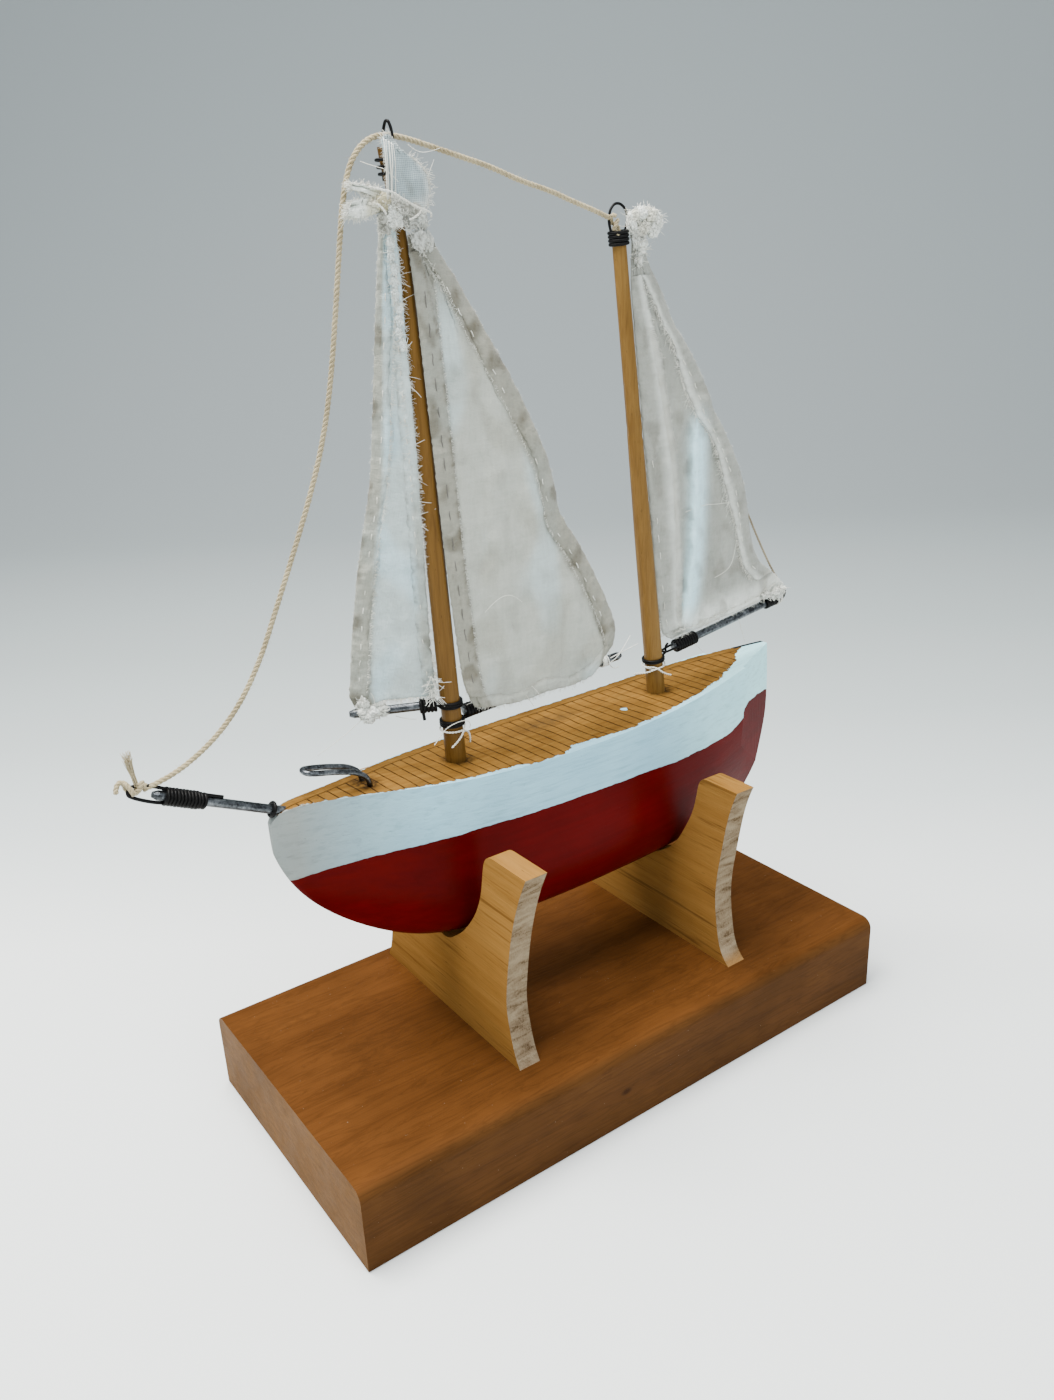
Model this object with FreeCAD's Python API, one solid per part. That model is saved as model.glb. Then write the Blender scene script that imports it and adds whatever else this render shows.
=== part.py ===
import FreeCAD, Part
import math
import os

# A small two-masted toy sailing boat of painted wood, resting in two pine cradles on a stained board.
# Frame: origin at the centre of the board's underside, +X to the bow, +Y to port, +Z up, millimetres.

# --- board and cradles
board_length = 240.0
board_width = 114.0
board_height = 32.0
board_round = 4.5
board_edge = 0.6
centre_y = -4.5            # the boat and both cradles stand this far off the board's middle line
cradle_thickness = 8.6
cradle_fore_x = 44.5
cradle_aft_x = -54.7
# outer edge of one arm of each cradle, from the foot up: half width, height
fore_outer = [(46.2, 32.0), (43.4, 37.5), (41.4, 45.0), (40.0, 54.0), (41.0, 65.0), (43.8, 80.0), (48.0, 95.0), (55.2, 111.8)]
aft_outer = [(48.0, 32.0), (43.6, 37.5), (41.4, 46.0), (40.1, 58.0), (40.6, 68.0), (43.0, 82.0), (46.6, 99.0), (50.2, 108.6)]
# notch that carries the hull, from its bottom up: half width, height
fore_notch = [(0.0, 64.2), (4.5, 65.2), (8.8, 68.2), (13.6, 72.2), (18.2, 77.2), (23.2, 84.0), (26.3, 90.0), (28.6, 97.0),
              (30.0, 104.0), (32.0, 109.4), (36.5, 111.6)]
aft_notch = [(0.0, 64.0), (4.5, 65.0), (8.8, 67.6), (13.4, 70.9), (18.4, 76.4), (22.6, 83.4), (26.2, 90.6), (28.0, 96.0),
             (29.4, 102.4), (31.0, 106.8), (34.4, 108.4)]

# --- hull stations: x, deck height, half beam, keel height, bilge power, side power
stations = [
    (-123.0, 140.0, 8.0, 79.0, 1.7, 1.2),
    (-110.0, 139.0, 9.2, 72.5, 1.8, 1.25),
    (-95.0, 137.2, 11.6, 67.6, 2.4, 1.5),
    (-78.0, 135.4, 15.0, 65.8, 3.5, 1.8),
    (-58.0, 133.6, 18.2, 65.3, 4.7, 2.0),
    (-35.0, 132.1, 20.2, 64.9, 5.2, 2.0),
    (-8.0, 131.3, 21.1, 64.7, 5.4, 2.0),
    (18.0, 131.3, 20.4, 64.9, 5.3, 2.0),
    (40.0, 131.9, 18.1, 65.9, 5.0, 2.0),
    (58.0, 132.9, 14.4, 69.3, 4.4, 1.95),
    (73.0, 133.8, 9.9, 76.6, 3.8, 1.9),
    (85.0, 134.5, 6.5, 85.2, 3.2, 1.8),
    (95.0, 135.0, 4.2, 94.6, 2.8, 1.8),
    (102.0, 134.9, 3.0, 103.6, 2.6, 1.8),
    (106.5, 133.4, 2.1, 112.3, 2.4, 1.8),
    (108.9, 130.6, 1.2, 119.5, 2.2, 1.8)]
section_points = 12
crease_x = -93.0            # where the sides are cut in towards the sternpost
crease_half_beam = 10.6
stern_tip_x = -119.5
# side profile of the sternpost, from the keel up: x, z
sternpost = [(-96.0, 66.0), (-101.2, 77.0), (-105.4, 83.5), (-109.6, 91.5), (-113.6, 100.0), (-116.6, 109.0),
             (-117.3, 118.0), (-116.9, 129.0), (-115.7, 142.0)]

# --- masts: height, centre x, radius at each station
main_mast_line = [(122.0, 37.7, 3.7), (131.5, 38.0, 3.7), (154.0, 38.8, 3.45), (190.0, 40.0, 3.3), (225.0, 41.2, 3.05),
                  (255.0, 42.2, 2.75), (285.0, 43.3, 2.2), (300.0, 44.0, 1.9), (312.0, 45.5, 1.6),
                  (320.0, 47.1, 1.45), (326.3, 48.2, 1.3)]
mizzen_mast_line = [(124.0, -56.4, 3.55), (134.0, -55.5, 3.55), (171.0, -51.9, 3.5), (210.0, -48.0, 3.1),
                    (246.0, -44.5, 2.7), (275.0, -41.6, 2.5), (301.0, -39.1, 2.4)]
main_rake = 1.95            # degrees forward, for the straight part that the booms turn about
mizzen_rake = 5.61

# --- nails and black wire
nail_radius = 1.55
wire_radius = 0.56
thin_wire_radius = 0.45
bowsprit_start = (96.0, 130.0)
bowsprit_tilt = 25.2
bowsprit_length = 52.2
stem_ring_radius = 0.62
cleat_radius = 0.95
# one half of the cleat, from its foot in the deck to its tip: x, distance from the middle plane, z
cleat_half = [(73.3, 2.8, 127.0), (73.8, 2.8, 137.0), (78.4, 2.8, 140.5), (86.0, 2.8, 142.8), (92.0, 2.8, 144.1), (95.2, 1.9, 144.8)]

# --- booms: height of the boom on its mast axis, swing from straight ahead
jib_boom_height = 153.6
jib_boom_swing = -28.0
main_boom_height = 150.0
mizzen_boom_height = 149.0
main_boom_tilt = 0.95       # a boom's outer end stands this many degrees higher than square to its mast
main_boom_drop = 1.25
mizzen_boom_tilt = 2.2
mizzen_boom_drop = 1.0
turn_gap = 0.12             # clearance of the rings that turn on the masts
ring_wire_radius = 0.4

# --- cotton sails: distance out from the mast axis, height above the boom
sail_thickness = 1.0
jib_outline = [(5.0, 3.1), (11.4, 3.1), (12.6, 2.3), (31.0, 2.3), (34.2, 3.4), (33.7, 8.0), (30.3, 27.0), (26.1, 47.1), (22.8, 60.2), (17.9, 79.1),
               (14.0, 103.5), (9.6, 132.4), (6.8, 150.5), (2.6, 150.5), (2.7, 132.0), (3.2, 103.0), (3.5, 80.0),
               (3.8, 60.0), (4.3, 30.0)]
main_outline = [(6.4, 1.2), (10.0, -0.9), (14.0, -2.4), (20.8, -3.6), (38.5, -3.8), (49.9, -4.0), (59.5, -2.7), (66.0, 2.6), (71.0, 9.5), (71.3, 14.5),
                (66.1, 28.7), (57.9, 45.5), (50.8, 57.8), (48.1, 64.0), (43.0, 79.9), (36.8, 94.1), (29.3, 107.9),
                (19.5, 124.3), (13.6, 136.6), (6.8, 153.9), (8.6, 162.0), (6.0, 166.0), (3.0, 166.0),
                (2.4, 152.0), (2.6, 134.9), (3.2, 110.0), (3.6, 80.0), (3.8, 40.0), (4.4, 12.0), (5.0, 3.4)]
mizzen_outline = [(10.0, 3.4), (25.5, 3.0), (48.0, 3.0), (60.0, 3.6), (70.5, 5.6), (73.6, 8.4), (66.0, 14.8), (60.4, 19.9),
                  (56.7, 26.9), (54.8, 44.0), (52.6, 56.0), (48.1, 68.4), (42.4, 80.4), (38.7, 86.4), (36.7, 93.4),
                  (29.0, 109.2), (21.9, 120.4), (16.7, 132.7), (12.1, 141.6), (10.6, 146.5), (4.2, 146.5), (3.6, 130.4),
                  (3.8, 96.1), (4.1, 59.7), (4.4, 20.6), (6.0, 7.0)]

# --- twine routes in the boat's middle plane: x, z
stay_radius = 0.85
stay_route = [(145.6, 154.6), (139.4, 155.6), (131.2, 158.6), (121.6, 164.4), (112.6, 173.0), (104.4, 185.2), (97.4, 199.6),
              (89.6, 215.6), (82.4, 231.0), (75.8, 247.6), (71.2, 265.0), (67.4, 284.6), (64.3, 301.6), (61.8, 314.0),
              (58.2, 323.6), (51.6, 329.2), (43.2, 329.4), (33.0, 326.9), (22.0, 324.0), (11.0, 321.2), (0.2, 317.2),
              (-11.0, 314.4), (-20.6, 310.9), (-29.0, 308.3), (-35.4, 305.8)]
lift_line_radius = 0.5
# mizzen boom frame: distance out from the mast axis, distance to starboard, height above the boom
lift_line_route = [(9.0, 0.95, 145.0), (14.6, 2.2, 134.4), (24.4, 2.6, 113.6), (34.8, 2.4, 91.8), (44.6, 2.6, 69.4),
                   (54.6, 2.4, 46.2), (63.2, 2.4, 26.4), (70.0, 1.8, 11.6), (73.4, 0.5, 5.4)]
thread_radius = 0.35
lashing_radius = 4.75       # corner radius of the thread's turn round a mast


def vec(x, y, z):
    return FreeCAD.Vector(x, y, z)


def tube_path(points):
    """Straight runs joined by tangent arcs; each arc takes 0.45 of its shorter run."""
    edges = []
    radii = []
    start = points[0]
    for before, corner, after in zip(points, points[1:], points[2:]):
        back = before - corner
        ahead = after - corner
        shorter = min(back.Length, ahead.Length)
        half_turn = (math.pi - back.getAngle(ahead)) / 2.0
        reach = 0.45 * shorter
        radius = reach / math.tan(half_turn)
        enter = corner + back * (reach / back.Length)
        leave = corner + ahead * (reach / ahead.Length)
        middle_way = (back * (1.0 / back.Length) + ahead * (1.0 / ahead.Length))
        middle_way.normalize()
        centre_distance = radius / math.cos(half_turn)
        middle = corner + middle_way * (centre_distance - radius)
        edges.append(Part.LineSegment(start, enter).toShape())
        edges.append(Part.Arc(enter, middle, leave).toShape())
        radii.append(radius)
        start = leave
    edges.append(Part.LineSegment(start, points[-1]).toShape())
    return Part.Wire(edges), radii


def tube(points, radius):
    """Round tube of constant section along the given corner points."""
    path, radii = tube_path(points)
    direction = points[1] - points[0]
    section = Part.Wire([Part.makeCircle(radius, points[0], direction)])
    return path.makePipeShell([section], True, False), path.Length, min(radii)


def rod(start, end, radius):
    return Part.makeCylinder(radius, (end - start).Length, start, end - start)


def beaded_sleeve(inner, bead, turns, pitch, growth=0.0, slack=0.0):
    """Tight coil of wire about local Z from z = 0: one bead per turn over a common bore."""
    edges = []
    length = turns * pitch
    root = inner + bead + slack
    edges.append(Part.LineSegment(vec(inner, 0, 0), vec(root, 0, 0)).toShape())
    for turn in range(turns):
        low = turn * pitch
        swell = 1.0 + growth * turn / turns + 0.06 * math.sin(2.3 * turn)
        top = vec(root + bead * swell, 0, low + pitch / 2.0)
        edges.append(Part.Arc(vec(root, 0, low), top, vec(root, 0, low + pitch)).toShape())
    edges.append(Part.LineSegment(vec(root, 0, length), vec(inner, 0, length)).toShape())
    edges.append(Part.LineSegment(vec(inner, 0, length), vec(inner, 0, 0)).toShape())
    face = Part.Face(Part.Wire(edges))
    return face.revolve(vec(0, 0, 0), vec(0, 0, 1), 360.0)


def nail(start, end, radius):
    """Round wire nail with a softly ground end."""
    axis = end - start
    length = axis.Length
    edges = [
        Part.LineSegment(vec(0, 0, 0), vec(radius - 0.3, 0, 0)).toShape(),
        Part.LineSegment(vec(radius - 0.3, 0, 0), vec(radius, 0, 0.3)).toShape(),
        Part.LineSegment(vec(radius, 0, 0.3), vec(radius, 0, length - 1.6)).toShape(),
        Part.LineSegment(vec(radius, 0, length - 1.6), vec(radius * 0.62, 0, length)).toShape(),
        Part.LineSegment(vec(radius * 0.62, 0, length), vec(0, 0, length)).toShape(),
        Part.LineSegment(vec(0, 0, length), vec(0, 0, 0)).toShape()]
    body = Part.Face(Part.Wire(edges)).revolve(vec(0, 0, 0), vec(0, 0, 1), 360.0)
    return aligned(body, start, axis)


def aligned(shape, origin, axis):
    """Copy of the shape with its local Z turned along the axis and its origin moved."""
    turn = FreeCAD.Rotation(vec(0, 0, 1), axis)
    placed = shape.copy()
    placed.Placement = FreeCAD.Placement(origin, turn)
    return placed


def fused(shapes):
    return shapes[0].fuse(shapes[1:], 0.001)


def mast_axis_x(line, height):
    low = line[1]
    high = line[5]
    return low[1] + (high[1] - low[1]) * (height - low[0]) / (high[0] - low[0])


def boom_frame(line, height, rake, swing):
    """Placement with local X out along the boom, local Z up the raked mast axis."""
    origin = vec(mast_axis_x(line, height), centre_y, height)
    lean = FreeCAD.Rotation(vec(0, 1, 0), rake)
    turn = FreeCAD.Rotation(vec(0, 0, 1), swing)
    return FreeCAD.Placement(origin, lean.multiply(turn))


def raised(frame, drop, tilt):
    """Boom frame lowered at the mast and tilted up towards the boom's outer end."""
    return frame.multiply(FreeCAD.Placement(vec(0, 0, -drop), FreeCAD.Rotation(vec(0, 1, 0), -tilt)))


def placed(shape, frame):
    result = shape.copy()
    result.Placement = frame.multiply(result.Placement)
    return result


# --- stand

def make_board():
    board = Part.makeBox(board_length, board_width, board_height,
                         vec(-board_length / 2.0, -board_width / 2.0, 0))
    long_top = []
    others = []
    for edge in board.Edges:
        middle = edge.CenterOfMass
        if abs(middle.z - board_height) < 0.01 and abs(middle.x) < 0.01:
            long_top.append(edge)
    board = board.makeFillet(board_round, long_top)
    for edge in board.Edges:
        middle = edge.CenterOfMass
        if middle.z < 0.01 and edge.Length > 50.0:
            others.append(edge)
    return board.makeFillet(board_edge, others)


def make_cradle(x_middle, arm_outer, notch):
    """Pine arm pair sawn from one board, with a notch for the hull."""
    x_low = x_middle - cradle_thickness / 2.0
    port_outer = [vec(x_low, centre_y + y, z) for y, z in arm_outer]
    port_notch = [vec(x_low, centre_y + y, z) for y, z in reversed(notch)]
    star_notch = [vec(x_low, centre_y - y, z) for y, z in notch[1:]]
    star_outer = [vec(x_low, centre_y - y, z) for y, z in reversed(arm_outer)]
    port_curve = Part.BSplineCurve()
    port_curve.interpolate(port_outer)
    notch_curve = Part.BSplineCurve()
    notch_curve.interpolate(port_notch + star_notch)
    star_curve = Part.BSplineCurve()
    star_curve.interpolate(star_outer)
    outline = Part.Wire([
        port_curve.toShape(),
        Part.LineSegment(port_outer[-1], port_notch[0]).toShape(),
        notch_curve.toShape(),
        Part.LineSegment(star_notch[-1], star_outer[0]).toShape(),
        star_curve.toShape(),
        Part.LineSegment(star_outer[-1], port_outer[0]).toShape()])
    return Part.Face(outline).extrude(vec(cradle_thickness, 0, 0))


# --- boat

def section_wire(x, deck, half_beam, keel, bilge, side):
    """Closed hull section: curved from one deck edge round the keel to the other, straight across the deck."""
    port = []
    for step in range(section_points + 1):
        share = step / section_points
        rise = share ** 1.7
        reach = max(0.0, 1.0 - (1.0 - rise) ** bilge) ** (1.0 / side)
        port.append((half_beam * reach, keel + (deck - keel) * rise))
    around = [vec(x, centre_y + y, z) for y, z in reversed(port)]
    around += [vec(x, centre_y - y, z) for y, z in port[1:]]
    curve = Part.BSplineCurve()
    curve.interpolate(around)
    return Part.Wire([curve.toShape(), Part.LineSegment(around[-1], around[0]).toShape()])


def make_hull(seats):
    loft = Part.makeLoft([section_wire(*station) for station in stations], True, False)
    plan = Part.makePolygon([
        vec(130.0, centre_y - 40.0, 50.0), vec(130.0, centre_y + 40.0, 50.0),
        vec(crease_x, centre_y + 40.0, 50.0), vec(crease_x, centre_y + crease_half_beam, 50.0),
        vec(stern_tip_x, centre_y + 0.5, 50.0), vec(stern_tip_x, centre_y - 0.5, 50.0),
        vec(crease_x, centre_y - crease_half_beam, 50.0), vec(crease_x, centre_y - 40.0, 50.0),
        vec(130.0, centre_y - 40.0, 50.0)])
    plan_body = Part.Face(plan).extrude(vec(0, 0, 110.0))
    post_points = [vec(x, centre_y - 50.0, z) for x, z in sternpost]
    post = Part.BSplineCurve()
    post.interpolate(post_points)
    side = Part.Wire([
        post.toShape(),
        Part.LineSegment(post_points[-1], vec(130.0, centre_y - 50.0, 142.0)).toShape(),
        Part.LineSegment(vec(130.0, centre_y - 50.0, 142.0), vec(130.0, centre_y - 50.0, 50.0)).toShape(),
        Part.LineSegment(vec(130.0, centre_y - 50.0, 50.0), vec(-96.0, centre_y - 50.0, 50.0)).toShape(),
        Part.LineSegment(vec(-96.0, centre_y - 50.0, 50.0), post_points[0]).toShape()])
    side_body = Part.Face(side).extrude(vec(0, 100.0, 0))
    hull = loft.common(plan_body).common(side_body)
    for seat in seats:
        hull = hull.cut(seat)
    return hull


def make_mast(line):
    rings = []
    for height, x, radius in line:
        rings.append(Part.Wire([Part.makeCircle(radius, vec(x, centre_y, height))]))
    return Part.makeLoft(rings, True, False)


def bowsprit_point(distance, side=0.0, lift=0.0):
    tilt = math.radians(bowsprit_tilt)
    x = bowsprit_start[0] + distance * math.cos(tilt) - lift * math.sin(tilt)
    z = bowsprit_start[1] + distance * math.sin(tilt) + lift * math.cos(tilt)
    return vec(x, centre_y + side, z)


def make_bowsprit():
    return nail(bowsprit_point(0.0), bowsprit_point(bowsprit_length), nail_radius)


def make_bowsprit_wire():
    """Ten turns round nail and tail, two smaller ones, the straight tail on top and a long eye ahead."""
    axis = bowsprit_point(1.0) - bowsprit_point(0.0)
    coil = aligned(beaded_sleeve(nail_radius, wire_radius, 10, 1.1, 0.05, 0.24), bowsprit_point(37.7), axis)
    collar = aligned(beaded_sleeve(nail_radius, wire_radius, 2, 1.2), bowsprit_point(35.4), axis)
    tail = rod(bowsprit_point(30.0, 0.0, nail_radius + 0.5), bowsprit_point(36.4, 0.0, nail_radius + 0.5), wire_radius)
    rise = nail_radius + wire_radius
    eye_points = [
        bowsprit_point(47.0, 0.0, rise), bowsprit_point(50.5, 0.0, rise + 0.3), bowsprit_point(54.0, 0.0, rise + 0.5),
        bowsprit_point(57.4, 0.0, rise + 0.1), bowsprit_point(59.6, 0.0, 1.2), bowsprit_point(59.6, 0.0, -1.2),
        bowsprit_point(57.4, 0.0, -rise + 0.3), bowsprit_point(54.0, 0.0, -rise - 0.1),
        bowsprit_point(50.5, 0.0, -rise - 0.2), bowsprit_point(47.0, 0.0, -rise)]
    eye, eye_length, eye_radius = tube(eye_points, wire_radius)
    return fused([coil, collar, tail, eye])


def make_stem_ring():
    """One turn of wire round the nail where it enters the stem."""
    axis = bowsprit_point(1.0) - bowsprit_point(0.0)
    ring = Part.makeTorus(nail_radius + stem_ring_radius, stem_ring_radius)
    return aligned(ring, bowsprit_point(12.5), axis)


def make_cleat():
    """Wide wire staple bent forward over the foredeck, both feet driven in."""
    points = [vec(x, centre_y + y, z) for x, y, z in cleat_half]
    points += [vec(x, centre_y - y, z) for x, y, z in reversed(cleat_half)]
    staple, length, radius = tube(points, cleat_radius)
    return staple


def make_main_head_wire():
    """Narrow wire hook over the masthead, bound on with three turns."""
    parts = []
    for height, x in [(323.0, 47.6), (321.1, 47.2), (319.3, 46.9)]:
        parts.append(Part.makeTorus(1.45 + 1.1, thin_wire_radius, vec(x - 0.15, centre_y, height)))
    hook = [vec(47.0, centre_y - 2.2, 317.6), vec(47.2, centre_y - 2.1, 322.5), vec(46.7, centre_y - 1.9, 327.4),
            vec(46.2, centre_y - 1.5, 331.4), vec(46.0, centre_y - 0.6, 333.1), vec(45.8, centre_y + 0.6, 333.1),
            vec(45.5, centre_y + 1.5, 331.2), vec(45.3, centre_y + 1.9, 327.0), vec(46.2, centre_y + 2.2, 322.0),
            vec(46.7, centre_y + 2.3, 317.0), vec(47.9, centre_y + 2.6, 315.0)]
    hairpin, hook_length, hook_radius = tube(hook, thin_wire_radius)
    parts.append(hairpin)
    return fused(parts)


def make_mizzen_head_wire():
    """Four turns of wire round the mizzen masthead with a round eye standing on top."""
    line = mizzen_mast_line
    base = vec(mast_axis_x(line, 297.2), centre_y, 297.2)
    axis = vec(math.sin(math.radians(mizzen_rake)), 0, math.cos(math.radians(mizzen_rake)))
    sleeve = aligned(beaded_sleeve(2.46, wire_radius, 4, 1.2, 0.2), base, axis)
    eye = [vec(-35.96, centre_y + 0.2, 301.0), vec(-35.4, centre_y + 0.1, 302.8), vec(-35.0, centre_y, 305.0),
           vec(-35.6, centre_y, 308.2), vec(-37.5, centre_y, 310.2), vec(-40.0, centre_y, 310.2),
           vec(-42.2, centre_y, 308.6), vec(-43.2, centre_y, 306.2), vec(-42.8, centre_y - 0.1, 303.6),
           vec(-42.04, centre_y - 0.2, 301.6)]
    loop, loop_length, loop_radius = tube(eye, thin_wire_radius)
    return fused([sleeve, loop])


def make_stay():
    """Twine from the bowsprit eye over the main masthead hook to the mizzen masthead eye."""
    points = [vec(x, centre_y, z) for x, z in stay_route]
    shape, length, radius = tube(points, stay_radius)
    print("stay twine length", round(length, 1), "smallest radius", round(radius, 2),
          "volume ratio", round(shape.Volume / (math.pi * stay_radius ** 2 * length), 4))
    return shape


# --- booms and sails, made in the boom's own frame

def make_boom_nail(frame, start, end):
    return placed(nail(vec(start, 0, 0), vec(end, 0, 0), nail_radius), frame)


def mast_ring(inner, lift, turns):
    pitch = 2.0 * ring_wire_radius
    ring = beaded_sleeve(inner, ring_wire_radius, turns, pitch)
    ring.Placement = FreeCAD.Placement(vec(0, 0, lift - turns * pitch / 2.0), FreeCAD.Rotation())
    return ring


def make_jib_boom_wire(frame):
    """Ring on the mast, five turns round the nail and a short tail hanging down."""
    ring = mast_ring(3.48 + turn_gap, 0.0, 3)
    coil = aligned(beaded_sleeve(nail_radius, wire_radius, 5, 1.22), vec(4.6, 0, 0), vec(1, 0, 0))
    tail = rod(vec(9.6, 0.6, -2.1), vec(9.4, 0.9, -5.0), wire_radius)
    parts = [ring, coil, tail]
    for side in (-1.0, 1.0):
        parts.append(rod(vec(3.7, side * 1.5, 0), vec(6.2, side * 2.1, 0), ring_wire_radius))
    return placed(fused(parts), frame)


def make_main_boom_wire(frame, nail_frame):
    """Ring on the mast below the boom, a link up to the nail and ten turns round it."""
    ring = placed(mast_ring(3.55 + turn_gap, -3.3, 3), frame)
    coil = aligned(beaded_sleeve(nail_radius, wire_radius, 10, 1.25, -0.15), vec(5.4, 0, 0), vec(1, 0, 0))
    parts = [ring, placed(coil, nail_frame)]
    for side in (-0.9, 0.9):
        parts.append(placed(rod(vec(3.95, side, -3.4), vec(11.0, side * 0.6, -3.2), ring_wire_radius), frame))
    return fused(parts)


def make_mizzen_boom_wire(frame):
    """Coil on the nail that runs out into a flat eye towards the mast."""
    coil = aligned(beaded_sleeve(nail_radius, wire_radius, 9, 1.2, 0.1), vec(11.4, 0, 0), vec(1, 0, 0))
    eye_points = [vec(12.0, 2.1, 0.1), vec(9.8, 1.75, 0.2), vec(7.2, 1.5, 0.1), vec(5.2, 1.25, 0.1),
                  vec(5.2, -1.25, 0.1), vec(7.2, -1.5, 0.1), vec(9.8, -1.75, 0.2), vec(12.0, -2.1, 0.1)]
    eye, eye_length, eye_radius = tube(eye_points, thin_wire_radius)
    return placed(fused([coil, eye]), frame)


def make_mizzen_ring(frame):
    """Wire ring round the mizzen mast with an upright hook that stands in the boom's eye."""
    ring = mast_ring(3.6 + turn_gap, -1.9, 2)
    hook_points = [vec(4.05, 0, -1.9), vec(6.6, 0, -1.8), vec(6.6, 0, 1.0), vec(8.0, 0, 1.9)]
    hook, hook_length, hook_radius = tube(hook_points, thin_wire_radius)
    return placed(fused([ring, hook]), frame)


def make_mizzen_end_wire(frame):
    """Wire turns on the outer end of the mizzen boom with an eye for the sail's corner."""
    coil = aligned(beaded_sleeve(nail_radius, thin_wire_radius, 6, 1.0), vec(61.8, 0, 0), vec(1, 0, 0))
    eye_points = [vec(67.3, 0, -2.0), vec(70.6, 0, -2.0), vec(73.6, 0, -1.0), vec(74.8, 0, 1.2), vec(73.2, 0, 3.1),
                  vec(70.8, 0, 3.2), vec(69.0, 0, 2.5), vec(67.3, 0, 2.0)]
    eye, eye_length, eye_radius = tube(eye_points, thin_wire_radius)
    return placed(fused([coil, eye]), frame)


def make_sail(frame, outline, side):
    points = [vec(out, side - sail_thickness / 2.0, up) for out, up in outline]
    face = Part.Face(Part.makePolygon(points + [points[0]]))
    return placed(face.extrude(vec(0, sail_thickness, 0)), frame)


def make_lift_line(frame):
    points = [vec(*point) for point in lift_line_route]
    shape, length, radius = tube(points, lift_line_radius)
    print("boom lift line length", round(length, 1), "smallest radius", round(radius, 2),
          "volume ratio", round(shape.Volume / (math.pi * lift_line_radius ** 2 * length), 4))
    return placed(shape, frame)


def make_lashing(frame, height, first_angle, step, lead_in, lead_out):
    """Thread with one turn round the mast under the wire ring, and two loose ends."""
    points = [vec(*point) for point in lead_in]
    for corner in range(9):
        angle = math.radians(first_angle + corner * step)
        points.append(vec(lashing_radius * math.cos(angle), lashing_radius * math.sin(angle), height - 0.11 * corner))
    points += [vec(*point) for point in lead_out]
    shape, length, radius = tube(points, thread_radius)
    print("lashing length", round(length, 1), "smallest radius", round(radius, 2),
          "volume ratio", round(shape.Volume / (math.pi * thread_radius ** 2 * length), 4))
    return placed(shape, frame)


def build():
    nodes = {}
    nodes["base_board"] = make_board()
    nodes["cradle_fore"] = make_cradle(cradle_fore_x, fore_outer, fore_notch)
    nodes["cradle_aft"] = make_cradle(cradle_aft_x, aft_outer, aft_notch)

    nodes["main_mast"] = make_mast(main_mast_line)
    nodes["mizzen_mast"] = make_mast(mizzen_mast_line)
    nodes["bowsprit_nail"] = make_bowsprit()
    nodes["foredeck_cleat"] = make_cleat()
    nodes["stem_ring"] = make_stem_ring()
    nodes["hull"] = make_hull([nodes[name] for name in
                               ("main_mast", "mizzen_mast", "bowsprit_nail", "foredeck_cleat", "stem_ring")])
    nodes["bowsprit_wire"] = make_bowsprit_wire()
    nodes["main_masthead_wire"] = make_main_head_wire()
    nodes["mizzen_masthead_wire"] = make_mizzen_head_wire()
    nodes["stay_twine"] = make_stay()

    jib = boom_frame(main_mast_line, jib_boom_height, main_rake, jib_boom_swing)
    nodes["jib_boom_nail"] = make_boom_nail(jib, 4.9, 34.6)
    nodes["jib_boom_wire"] = make_jib_boom_wire(jib)
    nodes["jib_sail"] = make_sail(jib, jib_outline, 0.0)

    main = boom_frame(main_mast_line, main_boom_height, main_rake, 180.0)
    main_nail = raised(main, main_boom_drop, main_boom_tilt)
    nodes["main_boom_nail"] = make_boom_nail(main_nail, 5.0, 76.2)
    nodes["main_boom_wire"] = make_main_boom_wire(main, main_nail)
    nodes["main_sail"] = make_sail(main, main_outline, -3.3)
    nodes["main_lashing"] = make_lashing(main, -5.1, -60.0, 45.0, [(-4.5, -5.6, -10.3), (-0.6, -5.8, -8.2)],
                                         [(4.9, -3.3, -8.6), (5.4, -1.6, -12.7)])

    mizzen = boom_frame(mizzen_mast_line, mizzen_boom_height, mizzen_rake, 180.0)
    mizzen_nail = raised(mizzen, mizzen_boom_drop, mizzen_boom_tilt)
    nodes["mizzen_boom_nail"] = make_boom_nail(mizzen_nail, 10.4, 68.4)
    nodes["mizzen_boom_wire"] = make_mizzen_boom_wire(mizzen_nail)
    nodes["mizzen_ring"] = make_mizzen_ring(mizzen)
    nodes["mizzen_end_wire"] = make_mizzen_end_wire(mizzen_nail)
    nodes["mizzen_sail"] = make_sail(mizzen, mizzen_outline, 0.0)
    nodes["boom_lift_line"] = make_lift_line(mizzen)
    nodes["mizzen_lashing"] = make_lashing(mizzen, -3.6, 240.0, -45.0, [(3.6, -5.6, -8.6), (-0.3, -6.0, -6.6)],
                                           [(-7.0, -3.1, -4.9), (-12.2, -2.4, -3.4)])
    return nodes


os.makedirs("parts", exist_ok=True)
for node_name, node_shape in build().items():
    print(node_name, "valid", node_shape.isValid(), "solids", len(node_shape.Solids), "volume", round(node_shape.Volume, 1))
    node_shape.exportStep("parts/" + node_name + ".step")
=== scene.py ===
import bpy
import math
import random
from mathutils import Matrix, Vector, noise


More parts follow.
